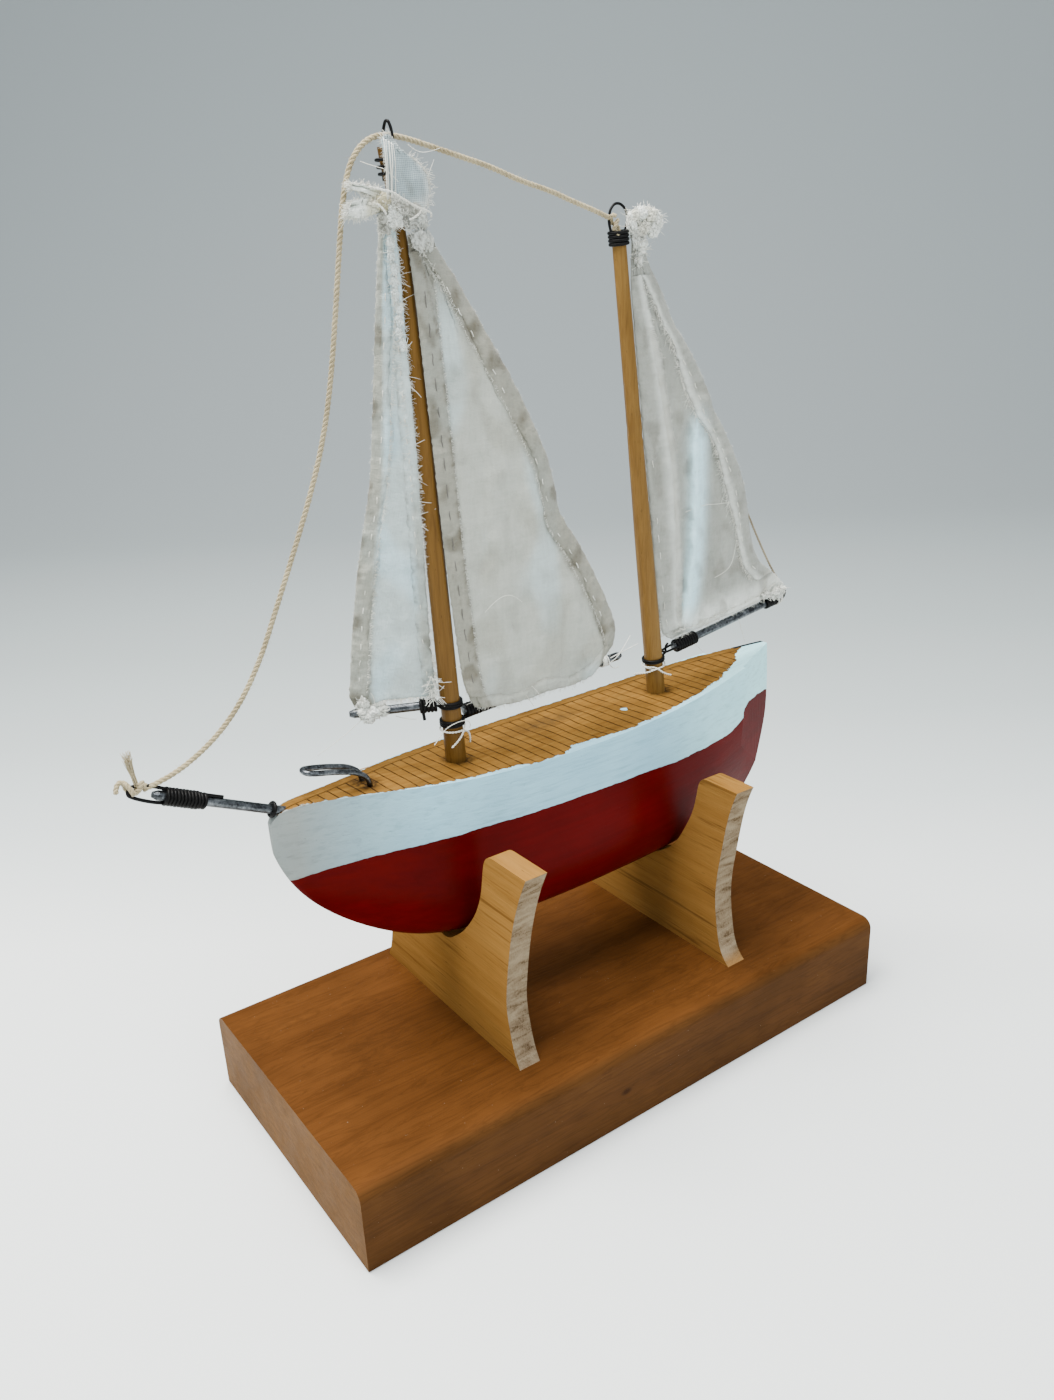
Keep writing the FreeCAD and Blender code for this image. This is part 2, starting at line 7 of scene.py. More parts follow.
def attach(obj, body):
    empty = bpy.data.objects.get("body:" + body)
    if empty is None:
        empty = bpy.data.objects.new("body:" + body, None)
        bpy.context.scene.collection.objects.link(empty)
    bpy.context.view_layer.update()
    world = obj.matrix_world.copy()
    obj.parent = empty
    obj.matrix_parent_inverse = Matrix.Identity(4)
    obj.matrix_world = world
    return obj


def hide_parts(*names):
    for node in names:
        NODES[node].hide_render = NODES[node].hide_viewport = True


# Looks of the two-masted toy boat. Points and lengths of pieces are in millimetres until they reach a
# mesh; inside a material, positions are metres, as Blender gives them.

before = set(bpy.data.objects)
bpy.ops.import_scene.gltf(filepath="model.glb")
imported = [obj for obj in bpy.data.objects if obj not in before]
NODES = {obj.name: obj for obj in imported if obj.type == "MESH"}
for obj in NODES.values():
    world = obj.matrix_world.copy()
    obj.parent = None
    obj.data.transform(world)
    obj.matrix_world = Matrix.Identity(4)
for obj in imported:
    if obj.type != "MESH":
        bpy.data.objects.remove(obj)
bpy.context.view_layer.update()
MM = 0.001
CY = -4.5                                 # the boat's middle plane
EYE = Vector((226.71, 311.47, 298.59))    # where the camera stands
EYE_TURN = (68.356, 2.425, 144.170)
FOCAL_LENGTH = 29.459
SENSOR_WIDTH = 36.0


def smooth(low, high, x):
    t = min(1.0, max(0.0, (x - low) / (high - low)))
    return t * t * (3.0 - 2.0 * t)


def lerp_table(table, x):
    if x <= table[0][0]:
        return table[0][1]
    for (x0, y0), (x1, y1) in zip(table, table[1:]):
        if x <= x1:
            return y0 + (y1 - y0) * (x - x0) / (x1 - x0)
    return table[-1][1]


def wobble(x, y=0.0, z=0.0):
    return noise.noise(Vector((x, y, z)))


def shares(count):
    """Evenly spaced numbers from 0 to 1."""
    return [i / count for i in range(count + 1)]


def scatter(rng):
    return Vector((rng.uniform(-1, 1), rng.uniform(-1, 1), rng.uniform(-1, 1)))


def in_frame(matrix, points):
    return [matrix @ Vector(p) for p in points]


def arc(start, way, bend, reach, times=(0, 0.25, 0.5, 0.75, 1.0)):
    """A short fibre that sets off along way and is drawn aside by bend."""
    return [start + way * reach * t + bend * reach * t * t for t in times]


def grid_faces(columns, rows):
    row = columns + 1
    corners = [j * row + i for j in range(rows) for i in range(columns)]
    return [(a, a + 1, a + row + 1, a + row) for a in corners]


# --- camera

def show(name, data):
    """A new object in the scene."""
    obj = bpy.data.objects.new(name, data)
    bpy.context.scene.collection.objects.link(obj)
    return obj


def make_camera():
    data = bpy.data.cameras.new("camera")
    data.lens = FOCAL_LENGTH
    data.sensor_width = SENSOR_WIDTH
    camera = show("camera", data)
    camera.location = EYE * MM
    camera.rotation_euler = [math.radians(a) for a in EYE_TURN]
    bpy.context.scene.camera = camera


make_camera()


# --- mesh building

class Strands:
    """Collects round threads of any thickness into one mesh."""

    def __init__(self):
        self.verts = []
        self.faces = []

    def add(self, points, radius, sides=6, taper=0.0):
        points = [Vector(p) for p in points]
        side = None
        start = len(self.verts)
        count = len(points)
        for i, p in enumerate(points):
            along = points[min(i + 1, count - 1)] - points[max(i - 1, 0)]
            if along.length < 1e-9:
                along = Vector((0, 0, 1))
            along.normalize()
            if side is None:
                side = along.orthogonal().normalized()
            side = side - along * side.dot(along)
            if side.length < 1e-6:
                side = along.orthogonal()
            side.normalize()
            other = along.cross(side)
            r = radius[i] if isinstance(radius, (list, tuple)) else radius
            r *= 1.0 - taper * i / max(1, count - 1)
            for k in range(sides):
                a = 2.0 * math.pi * k / sides
                self.verts.append(p + side * (r * math.cos(a)) + other * (r * math.sin(a)))
        for i in range(count - 1):
            for k in range(sides):
                a = start + i * sides + k
                b = start + i * sides + (k + 1) % sides
                self.faces.append((a, b, b + sides, a + sides))
        self.faces.append(tuple(start + k for k in reversed(range(sides))))
        self.faces.append(tuple(start + (count - 1) * sides + k for k in range(sides)))

    def piece(self, name, body, material=None, slot="thread"):
        return finish_mesh(name, self.verts, self.faces, material or THREAD, body)


def finish_mesh(name, verts, faces, material, body, colours=None, uvs=None):
    mesh = bpy.data.meshes.new(name)
    mesh.from_pydata([Vector(v) * MM for v in verts], [], faces)
    mesh.validate()
    for polygon in mesh.polygons:
        polygon.use_smooth = True
    if colours:
        layer = mesh.color_attributes.new(name="Tone", type="FLOAT_COLOR", domain="POINT")
        for i, c in enumerate(colours):
            layer.data[i].color = (c[0], c[1], c[2], 1.0)
    if uvs:
        layer = mesh.uv_layers.new(name="UVMap")
        for loop in mesh.loops:
            layer.data[loop.index].uv = uvs[loop.vertex_index]
    obj = show(name, mesh)
    mesh.materials.append(material)
    if body:
        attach(obj, body)
    return obj


def apply_modifiers(obj):
    depsgraph = bpy.context.evaluated_depsgraph_get()
    mesh = bpy.data.meshes.new_from_object(obj.evaluated_get(depsgraph))
    obj.modifiers.clear()
    obj.data = mesh


def thicken(obj, thickness):
    solid = obj.modifiers.new("thickness", "SOLIDIFY")
    solid.thickness = thickness * MM
    solid.offset = 0.0
    apply_modifiers(obj)
    for polygon in obj.data.polygons:
        polygon.use_smooth = True


def nurbs_path(points, resolution=10):
    """Points along a smooth open spline that has the given control points, in millimetres."""
    curve = bpy.data.curves.new("route", "CURVE")
    curve.dimensions = "3D"
    curve.resolution_u = resolution
    spline = curve.splines.new("NURBS")
    spline.points.add(len(points) - 1)
    for slot, p in zip(spline.points, points):
        slot.co = (p[0] * MM, p[1] * MM, p[2] * MM, 1.0)
    spline.order_u = 3
    spline.use_endpoint_u = True
    holder = show("route", curve)
    mesh = bpy.data.meshes.new_from_object(holder)
    path = [v.co / MM for v in mesh.vertices]
    bpy.data.objects.remove(holder)
    bpy.data.curves.remove(curve)
    bpy.data.meshes.remove(mesh)
    return path


def resample(points, step):
    points = [Vector(p) for p in points]
    result = [points[0].copy()]
    left = step
    for a, b in zip(points, points[1:]):
        length = (b - a).length
        done = 0.0
        while length - done >= left:
            done += left
            result.append(a.lerp(b, done / length))
            left = step
        left -= length - done
    if (result[-1] - points[-1]).length > 0.3 * step:
        result.append(points[-1].copy())
    return result


def transported(path):
    """Path points with two directions square to the path that don't spin along it."""
    frames = []
    side = None
    for i, p in enumerate(path):
        along = (path[min(i + 1, len(path) - 1)] - path[max(i - 1, 0)]).normalized()
        if side is None:
            side = along.orthogonal().normalized()
        side = (side - along * side.dot(along)).normalized()
        frames.append((p, side, along.cross(side), along))
    return frames


def lay_twine(strands, path, diameter, ply=3, pitch=4.4, step=0.35):
    """Twisted plies following a path."""
    fine = transported(resample(path, step))
    offset = diameter * 0.25
    for k in range(ply):
        line = []
        for i, (p, side, other, _) in enumerate(fine):
            a = 2.0 * math.pi * (k / ply + i * step / pitch)
            swell = 1.0 + 0.10 * wobble(i * step * 0.35, k * 7.1)
            line.append(p + (side * math.cos(a) + other * math.sin(a)) * offset * swell)
        strands.add(line, diameter * 0.265, 7)


def lay_fuzz(strands, path, diameter, per_mm, length, rng, radius=0.035):
    fine = transported(resample(path, 0.5))
    for _ in range(int(per_mm * len(fine) * 0.5)):
        p, side, other, along = fine[rng.randrange(len(fine))]
        a = rng.uniform(0, 2 * math.pi)
        out = side * math.cos(a) + other * math.sin(a)
        start = p + out * diameter * 0.4
        reach = length * rng.uniform(0.4, 1.2)
        way = (out + along * rng.uniform(-1.6, 1.6)).normalized()
        bend = scatter(rng) * 0.35
        strands.add(arc(start, way, bend, reach, (0, 0.33, 0.66, 1.0)), radius, 3, taper=0.5)


def lay_threads(strands, matrix, lines, radius, sides=5, taper=0.0):
    for line in lines:
        strands.add(nurbs_path(in_frame(matrix, line)), radius, sides, taper=taper)


# --- materials

def operation(name, swapped=False):
    def apply(value, other):
        pair = (other, value) if swapped else (value, other)
        return value.look.math(name, *pair)
    return apply


class Value:
    """What a node gives out, ready to be added, multiplied and so on like a number."""

    def __init__(self, look, socket):
        self.look = look
        self.socket = socket

    __add__ = operation("ADD")
    __radd__ = operation("ADD", True)
    __sub__ = operation("SUBTRACT")
    __rsub__ = operation("SUBTRACT", True)
    __mul__ = operation("MULTIPLY")
    __rmul__ = operation("MULTIPLY", True)
    __truediv__ = operation("DIVIDE")

    def __abs__(self):
        return self.look.math("ABSOLUTE", self)


class Look:
    """A procedural surface."""

    def __init__(self, name, **sockets):
        self.material = bpy.data.materials.new(name)
        self.material.use_nodes = True
        self.tree = self.material.node_tree
        self.shader = self.tree.nodes["Principled BSDF"]
        for socket, value in sockets.items():
            self.shader.inputs[socket.replace("_", " ")].default_value = value
        self.place = self.node("ShaderNodeTexCoord")
        self.position = self.place.outputs["Object"]

    def node(self, kind, **settings):
        node = self.tree.nodes.new(kind)
        for key, value in settings.items():
            setattr(node, key, value)
        return node

    def feed(self, socket, value):
        if isinstance(value, Value):
            value = value.socket
        if isinstance(value, bpy.types.NodeSocket):
            self.tree.links.new(value, socket)
        elif value is not None:
            socket.default_value = value

    def stretch(self, scale, turn=(0, 0, 0), source=None):
        node = self.node("ShaderNodeMapping")
        self.feed(node.inputs["Vector"], source or self.position)
        node.inputs["Scale"].default_value = scale
        node.inputs["Rotation"].default_value = turn
        return node.outputs["Vector"]

    def noise(self, size, vector=None, detail=3.0, rough=0.55, distortion=0.0):
        """Noise whose features are about size millimetres."""
        node = self.node("ShaderNodeTexNoise")
        self.feed(node.inputs["Vector"], vector or self.position)
        node.inputs["Scale"].default_value = 1.0 / (size * MM)
        node.inputs["Detail"].default_value = detail
        node.inputs["Roughness"].default_value = rough
        node.inputs["Distortion"].default_value = distortion
        return Value(self, node.outputs["Fac"])

    def ramp(self, value, stops, smooth_ramp=False):
        """Shades between stops of (where, grey or colour), where runs from 0 to 1."""
        node = self.node("ShaderNodeValToRGB")
        self.feed(node.inputs["Fac"], value)
        ramp = node.color_ramp
        ramp.interpolation = "EASE" if smooth_ramp else "LINEAR"
        while len(ramp.elements) < len(stops):
            ramp.elements.new(1.0)
        for element, (where, colour) in zip(ramp.elements, stops):
            element.position = where
            shade = colour if isinstance(colour, tuple) else (colour, colour, colour)
            element.color = (*shade, 1.0)
        return Value(self, node.outputs["Color"])

    def fade(self, value, low, high, start=0.0, end=1.0):
        """Goes from start to end while the value goes from low to high."""
        return self.ramp(value, [(low, start), (high, end)])

    def math(self, kind, a, b=None, clamp=False):
        node = self.node("ShaderNodeMath", operation=kind, use_clamp=clamp)
        for socket, value in zip(node.inputs, (a, b)):
            self.feed(socket, value)
        return Value(self, node.outputs["Value"])

    def steep(self, value, slope):
        """0 below zero and 1 just above it."""
        return self.math("MULTIPLY", value, slope, clamp=True)

    def larger(self, a, b):
        return self.math("MAXIMUM", a, b)

    def distance(self, a, b):
        return self.math("SQRT", a * a + b * b)

    def mix(self, amount, a, b, blend="MIX"):
        node = self.node("ShaderNodeMix", data_type="RGBA", blend_type=blend)
        self.feed(node.inputs["Factor"], amount)
        for socket, value in ((node.inputs[6], a), (node.inputs[7], b)):
            if isinstance(value, (tuple, list)):
                value = (*value, 1.0)
            self.feed(socket, value)
        return Value(self, node.outputs[2])

    def tint(self, a, b):
        return self.mix(1.0, a, b, "MULTIPLY")

    def axes(self, source=None):
        node = self.node("ShaderNodeSeparateXYZ")
        self.feed(node.inputs[0], source or self.position)
        return [Value(self, socket) for socket in node.outputs]

    def bump(self, height, distance, strength=1.0, under=None):
        node = self.node("ShaderNodeBump")
        node.inputs["Strength"].default_value = strength
        node.inputs["Distance"].default_value = distance * MM
        self.feed(node.inputs["Height"], height)
        self.feed(node.inputs["Normal"], under)
        return node.outputs["Normal"]

    def done(self, colour=None, normal=None, roughness=None):
        self.feed(self.shader.inputs["Base Color"], colour)
        self.feed(self.shader.inputs["Normal"], normal)
        self.feed(self.shader.inputs["Roughness"], roughness)
        return self.material


def wood_look(name, pale, dark, grain_axis, ring, streak, roughness, fleck, specular=0.0):
    """Long-grained wood: streaks along one axis, with fine pores and slow colour drift."""
    look = Look(name, Roughness=roughness, Specular_IOR_Level=specular)
    scale = [1.0, 1.0, 1.0]
    scale[grain_axis] = 0.06
    long_way = look.stretch(scale)
    drift = look.noise(ring * 6.0, long_way, 2.0)
    rings = look.noise(ring, long_way, 4.0, 0.6, 0.6)
    scale[grain_axis] = 0.03
    pores = look.noise(streak, look.stretch(scale), 2.0, 0.7)
    tone = rings * 0.62 + drift * 0.38
    colour = look.ramp(tone, [(0.36, dark), (0.5, tuple((a + b) / 2 for a, b in zip(pale, dark))),
                              (0.64, pale)])
    pore_tone = look.ramp(pores, [(0.3, 1.0 - fleck), (0.52, 1.0)])
    colour = look.tint(colour, pore_tone)
    return look, colour, rings, pores


def board_look():
    look, colour, rings, pores = wood_look("stained_board", (0.092, 0.0345, 0.0082),
                                           (0.066, 0.0240, 0.0057), 0, 12.0, 0.8, 0.5, 0.12, 0.018)
    x, _, z = look.axes()
    figure = look.noise(5.0, look.stretch((0.10, 0.7, 1.0), (0, 0, 0.12)), 4.0, 0.62, 1.6)
    veins = look.ramp(figure, [(0.44, 1.0), (0.5, 0.74), (0.56, 1.0)], True)
    colour = look.mix(0.6, colour, look.tint(colour, veins))
    normal = look.axes(look.place.outputs["Normal"])
    end = look.fade(abs(normal[0]), 0.4, 0.8)
    grain = look.noise(1.6, look.stretch((1.0, 0.3, 1.0), (0.5, 0, 0)), 4.0, 0.65, 0.8)
    end_tone = look.ramp(grain, [(0.3, (0.096, 0.043, 0.0115)), (0.7, (0.142, 0.067, 0.0185))])
    colour = look.mix(end, colour, end_tone)
    side = look.fade(abs(normal[1]), 0.4, 0.8)
    # painted shade: the long side faces are tinted darker and bluer than the top and ends
    colour = look.mix(side * 0.7, colour, look.tint(colour, (0.72, 0.84, 1.05)))
    rub = look.noise(34.0)
    rubbed = look.fade(rub, 0.35, 0.65, 0.84, 1.14)
    colour = look.tint(colour, rubbed)
    dust = look.fade(look.noise(0.9, detail=1.0), 0.8, 0.82)
    colour = look.mix(dust * 0.35, colour, (0.3, 0.24, 0.17))
    # a small knot on the long edge
    kx = (x - 0.0135) * 0.55
    kz = z - 0.0145
    knot = look.distance(kx, kz)
    knot = side * look.fade(knot * 300.0, 0.18, 0.5, 1.0, 0.0)
    colour = look.mix(knot * 0.8, colour, (0.022, 0.009, 0.003))
    height = pores * 0.6 + rings * 0.4
    return look.done(colour, look.bump(height, 0.3, 0.45), look.fade(rings, 0.3, 0.7, 0.42, 0.55))


def cradle_look():
    look, colour, _, pores = wood_look("pale_pine", (0.285, 0.143, 0.036), (0.225, 0.104, 0.023), 1, 5.0,
                                       0.6, 0.65, 0.16)
    streaks = look.noise(1.9, look.stretch((1.0, 0.035, 1.0), (0.05, 0, 0)), 4.0, 0.62, 0.3)
    dark = look.fade(streaks, 0.58, 0.67)
    colour = look.mix(dark * 0.62, colour, (0.085, 0.036, 0.009))
    dashes = look.noise(0.8, look.stretch((1.0, 0.12, 1.0)), 2.0, 0.5)
    short = look.fade(dashes, 0.72, 0.76)
    colour = look.mix(short * 0.75, colour, (0.045, 0.022, 0.008))
    normal = look.axes(look.place.outputs["Normal"])
    sawn = look.fade(abs(normal[0]), 0.35, 0.8, 1.0, 0.0)
    upright = look.fade(abs(normal[2]), 0.5, 0.85, 1.0, 0.0)
    sawn = sawn * upright
    bands = look.noise(3.2, look.stretch((0.25, 0.25, 1.0), (0, 0.45, 0)), 3.0, 0.6, 0.6)
    fibres = look.noise(0.5, look.stretch((1.0, 1.0, 0.4)), 3.0, 0.7)
    weathered = look.ramp(bands * 0.7 + fibres * 0.3, [(0.36, (0.055, 0.038, 0.022)),
                                                       (0.46, (0.17, 0.13, 0.085)),
                                                       (0.6, (0.255, 0.205, 0.135))])
    colour = look.mix(sawn * 0.9, colour, weathered)
    saw = sawn * (bands + fibres * 0.5)
    height = saw + pores * 0.25
    return look.done(colour, look.bump(height, 0.7, 0.8), 0.7)


def mast_look():
    look, colour, rings, pores = wood_look("mast_wood", (0.150, 0.076, 0.0150), (0.094, 0.044, 0.0075), 2,
                                           1.7, 0.35, 0.42, 0.2, 0.12)
    spots = look.noise(1.2, look.stretch((1.0, 1.0, 0.4)), 2.0)
    dark = look.fade(spots, 0.7, 0.76)
    colour = look.mix(dark * 0.5, colour, (0.03, 0.014, 0.004))
    x, _, z = look.axes()
    # painted highlight: the mizzen mast (aft of x = -10 mm) is tinted lighter and bluer-grey, a greyish sheen
    # painted on its wood
    aft = look.math("LESS_THAN", x, -0.01)
    colour = look.mix(aft, colour, look.tint(colour, (1.35, 1.45, 1.75)))
    # painted shade: the masts are darkened below about 134 mm height, at the main mast's foot by the deck
    foot = look.fade((z - 0.131) * 160.0, 0.0, 0.5, 0.4, 1.0)
    colour = look.tint(colour, foot)
    return look.done(colour, look.bump(pores, 0.2, 0.5), look.fade(rings, 0.3, 0.7, 0.36, 0.5))


WATERLINE = [(-120, 117.4), (-117, 117.6), (-110, 119.0), (-100, 120.0), (-96, 118.0), (-93, 115.0),
             (-88, 112.6), (-75, 110.8), (-60, 111.0), (-30, 112.2), (0, 112.8), (40, 112.8), (70, 111.5),
             (90, 110.0), (104, 108.5), (112, 108.0)]
DECK_EDGE = [(-121, 0.0), (-119.5, 0.5), (-93, 10.6), (-78, 15.0), (-58, 18.2), (-35, 20.2), (-8, 21.1),
             (18, 20.4), (40, 18.1), (58, 14.4), (73, 9.9), (85, 6.5), (95, 4.2), (102, 3.0), (106.5, 2.1),
             (109, 1.2)]
PORT_PAINT = [(-120, 11.5), (-112, 11.0), (-106, 9.0), (-100, 8.6), (-96, 5.8), (-90, 5.0), (-80, 3.8),
              (-70, 3.0), (-56, 2.5), (-40, 2.0), (-26, 1.6), (-16, 3.0), (-8, 4.4), (0, 4.6), (5, 0.7),
              (17, 0.1), (22, 2.0), (34, 2.4), (50, 1.0), (80, 0.5), (109, 0.2)]


def along_hull(look, x, table, low, high):
    """A length from a table of (place, length) along the hull; low and high bracket the lengths."""
    start, reach = -125.0, 240.0
    share = (x + -start * MM) / (reach * MM)
    stops = [((p - start) / reach, (v - low) / (high - low)) for p, v in table]
    value = look.ramp(share, stops)
    return value * ((high - low) * MM) + low * MM


def hull_look():
    look = Look("hull_paint", Roughness=0.4, Specular_IOR_Level=0.03)
    x, y, z = look.axes()
    wander = look.noise(14.0, rough=0.6)
    fine = look.noise(2.2, rough=0.6)
    line = along_hull(look, x, WATERLINE, 100.0, 125.0)
    loose = look.fade((x + 0.125) * 8.0, 0.3, 0.75, 0.0052, 0.0011)
    line = line + (wander - 0.5) * loose
    line = line + (fine - 0.5) * 0.0007
    above = look.steep(z - line, 9000.0)

    # red enamel: deep, with faint brushed bands
    bands = look.noise(3.0, look.stretch((0.05, 1.0, 1.0)), 3.0, 0.6)
    red = look.ramp(bands, [(0.3, (0.066, 0.0003, 0.0004)), (0.7, (0.086, 0.0004, 0.0006))])
    mottled = look.fade(look.noise(30.0, detail=2.0), 0.35, 0.7, 0.8, 1.12)
    red = look.tint(red, mottled)

    # white paint: brush marks, runs and small pits
    brush = look.noise(1.5, look.stretch((0.07, 1.0, 1.0), (0, 0.12, 0)), 4.0, 0.65)
    brush_up = look.noise(1.5, look.stretch((1.0, 1.0, 0.12), (0, 0.4, 0)), 4.0, 0.65)
    stern = look.fade((x + 0.125) * 8.0, 0.12, 0.3, 1.0, 0.0)
    bow = look.fade((x - 0.045) * 16.0, 0.2, 0.9)
    ends = stern + bow * 0.5
    pits = look.fade(look.noise(0.8, detail=2.0), 0.68, 0.78)
    white = look.ramp(look.noise(24.0), [(0.3, (0.27, 0.5, 0.61)), (0.7, (0.33, 0.59, 0.7))])
    grime = look.fade(brush, 0.28, 0.5, 0.8, 1.0)
    white = look.tint(white, grime)
    dull = look.tint(white, (0.82, 0.5, 0.4))
    white = look.mix(bow, white, dull)
    # painted sheen: towards the stern the white is tinted lighter and bluer
    aft = look.fade((x + 0.125) * 8.0, 0.1, 0.72, 1.0, 0.0)
    aft_sheen_white = look.tint(white, (1.62, 1.55, 1.34))
    white = look.mix(aft, white, aft_sheen_white)
    paint = look.mix(above, red, white)

    # deck: honey-coloured wood with scored plank lines
    deck_grain = look.noise(1.6, look.stretch((0.10, 1.0, 1.0)), 4.0, 0.6, 0.4)
    deck = look.ramp(deck_grain, [(0.3, (0.146, 0.067, 0.0125)), (0.52, (0.184, 0.089, 0.0175)),
                                  (0.72, (0.222, 0.114, 0.025))])
    drift = look.fade(look.noise(17.0), 0.34, 0.66, 0.74, 1.16)
    deck = look.tint(deck, drift)
    off = y + -CY * MM
    jitter = (look.noise(16.0, detail=1.0) - 0.5) * 0.5
    count = x / 0.00425 + off / 0.045 + jitter
    saw = abs(look.math("FRACT", count) - 0.5)
    scored = look.ramp(saw, [(0.0, 1.0), (0.035, 1.0), (0.075, 0.0)])
    faint = look.fade(look.noise(2.6, detail=2.0), 0.3, 0.55, 0.45, 1.0)
    scored = scored * faint
    edge = along_hull(look, x, DECK_EDGE, 0.0, 22.0)
    starboard_gap = edge + off
    port_gap = edge - off
    inside = look.fade(starboard_gap * 100.0, 0.36, 0.42, 0.15, 1.0)
    scored = scored * inside
    margin = abs(starboard_gap - 0.0041)
    margin_line = look.fade(margin * 1000.0, 0.1, 0.3, 1.0, 0.0)
    plank = look.math("FLOOR", count + 0.5)
    board_tone = 0.93 + look.math("FRACT", plank * 0.37) * 0.14
    deck = look.tint(deck, board_tone)
    lines = look.larger(scored, margin_line * 0.75)
    deck = look.mix(lines * 0.9, deck, (0.018, 0.0075, 0.003))
    # painted shade: the deck darkens within about 6 mm of its starboard edge
    shade = look.fade(starboard_gap * 120.0, 0.05, 0.75, 0.62, 1.0)
    deck = look.tint(deck, shade)

    # darker blotches round the cleat's feet and both masts, and a greyish worn streak amidships
    smudge = None
    for centre_x, size in ((0.0738, 0.0046), (0.0377, 0.0044), (-0.0564, 0.0042)):
        dx = x - centre_x
        apart = look.distance(dx, off)
        near = look.fade(apart / (size * 1.6), 0.5, 1.0, 1.0, 0.0)
        smudge = near if smudge is None else look.larger(smudge, near)
    feet_darkening = smudge * look.fade(look.noise(1.6), 0.35, 0.6, 0.35, 1.0)
    deck = look.mix(feet_darkening * 0.85, deck, (0.01, 0.0055, 0.003))
    wear_x = (x + 0.006) * 0.3
    wear_y = off + 0.007
    worn = look.distance(wear_x, wear_y)
    worn = look.ramp(worn * 130.0, [(0.1, 1.0), (1.0, 0.0)], True) * look.fade(look.noise(3.0), 0.35, 0.6,
                                                                               0.3, 1.0)
    deck = look.mix(worn * 0.6, deck, (0.05, 0.03, 0.012))

    # paint that strays on to the deck
    width = along_hull(look, x, PORT_PAINT, 0.0, 12.0)
    ragged = look.noise(3.0, detail=4.0, rough=0.68)
    stray = (ragged - 0.5) * 0.006
    reach = width + stray
    port_paint = look.steep(reach - port_gap, 8000.0)
    far_reach = stray * 0.4 + 0.0002
    far_paint = look.steep(far_reach - starboard_gap, 8000.0)
    painted = look.larger(port_paint, far_paint)
    bx = x + 0.0355
    by = off - 0.004
    blob = look.distance(bx, by)
    blob = blob + (fine - 0.5) * 0.003
    painted = look.larger(painted, look.fade(blob * (1000.0 / 3.0), 0.38, 0.42, 1.0, 0.0))
    normal = look.axes(look.place.outputs["Normal"])
    deck_face = look.steep(normal[2] - 0.8, 40.0)
    bare = deck_face * look.math("SUBTRACT", 1.0, painted, clamp=True)
    colour = look.mix(bare, paint, deck)

    mark = look.steep(-0.1035 - x, 2500.0) * look.steep(0.0019 - starboard_gap, 2500.0)
    mark = mark * deck_face
    colour = look.mix(mark, colour, (0.012, 0.014, 0.017))

    brush_mix = look.mix(ends, brush, brush_up)
    coat = brush_mix * 0.9 + pits * 0.4
    coat = coat * (0.22 + above * 0.78)
    bare_height = deck_grain * 0.25 - lines
    height = look.mix(bare, coat + above * 0.4, bare_height)
    normal_out = look.bump(height, 0.50, 0.9)
    rough = look.mix(above, (0.36, 0.36, 0.36), (0.45, 0.45, 0.45))
    rough = look.mix(bare, rough, (0.6, 0.6, 0.6))
    return look.done(colour, normal_out, rough)


def wire_look():
    look = Look("black_wire", Roughness=0.34, Specular_IOR_Level=0.10)
    worn = look.noise(0.9)
    colour = look.ramp(worn, [(0.3, (0.0015, 0.0015, 0.0018)), (0.75, (0.006, 0.0056, 0.0052))])
    return look.done(colour, look.bump(look.noise(0.4), 0.05, 0.6), look.fade(worn, 0.3, 0.7, 0.3, 0.5))


def nail_look():
    look = Look("nail_steel", Metallic=1.0, Roughness=0.3)
    along = look.noise(0.8, detail=4.0, rough=0.65)
    blotch = look.noise(3.5)
    tone = look.ramp(along * 0.5 + blotch * 0.5, [(0.38, (0.03, 0.032, 0.035)), (0.5, (0.085, 0.092, 0.1)),
                                                  (0.64, (0.2, 0.215, 0.23))])
    return look.done(tone, look.bump(along, 0.1, 0.6), look.fade(blotch, 0.3, 0.7, 0.22, 0.45))


def thread_look(name, pale, dark):
    look = Look(name, Roughness=0.85, Sheen_Weight=0.25)
    grain = look.noise(0.5, rough=0.7)
    drift = look.noise(9.0, detail=2.0)
    colour = look.ramp(grain * 0.5 + drift * 0.5, [(0.35, dark), (0.62, pale)])
    return look.done(colour, look.bump(grain, 0.12, 0.8))


def cloth_look(name, cell_shade, pitch):
    look = Look(name, Roughness=0.9, Sheen_Weight=0.2, Subsurface_Weight=0.12,
                Subsurface_Radius=(0.002, 0.002, 0.002))
    uv = look.node("ShaderNodeUVMap", uv_map="UVMap").outputs["UV"]
    u, v, _ = look.axes(uv)
    bend = look.noise(6.0) * 0.0006
    warp = look.math("SINE", (u + bend) * (2.0 * math.pi / pitch))
    weft = look.math("SINE", (v + bend) * (2.0 * math.pi / (0.9 * pitch)))
    weave = warp * 0.5 + weft * 0.5
    slub = look.noise(1.1, look.stretch((1.0, 1.0, 0.12)), 3.0, 0.7)
    slub_across = look.noise(1.1, look.stretch((0.12, 0.12, 1.0)), 3.0, 0.7)
    tone = look.node("ShaderNodeVertexColor", layer_name="Tone").outputs["Color"]
    threads = slub * 0.5 + slub_across * 0.5
    thin = look.fade(threads, 0.3, 0.6, 0.86, 1.02)
    colour = look.tint(tone, thin)
    cells = look.ramp(weave * 0.5 + 0.5, [(0.0, cell_shade), (0.6, 1.0)])
    colour = look.tint(colour, cells)
    crumple = look.noise(4.0, detail=4.0, rough=0.6)
    normal = look.bump(crumple, 1.5, 0.75)
    normal = look.bump(weave * 0.35 + threads, 0.14, 0.8, normal)
    return look.done(colour, normal)


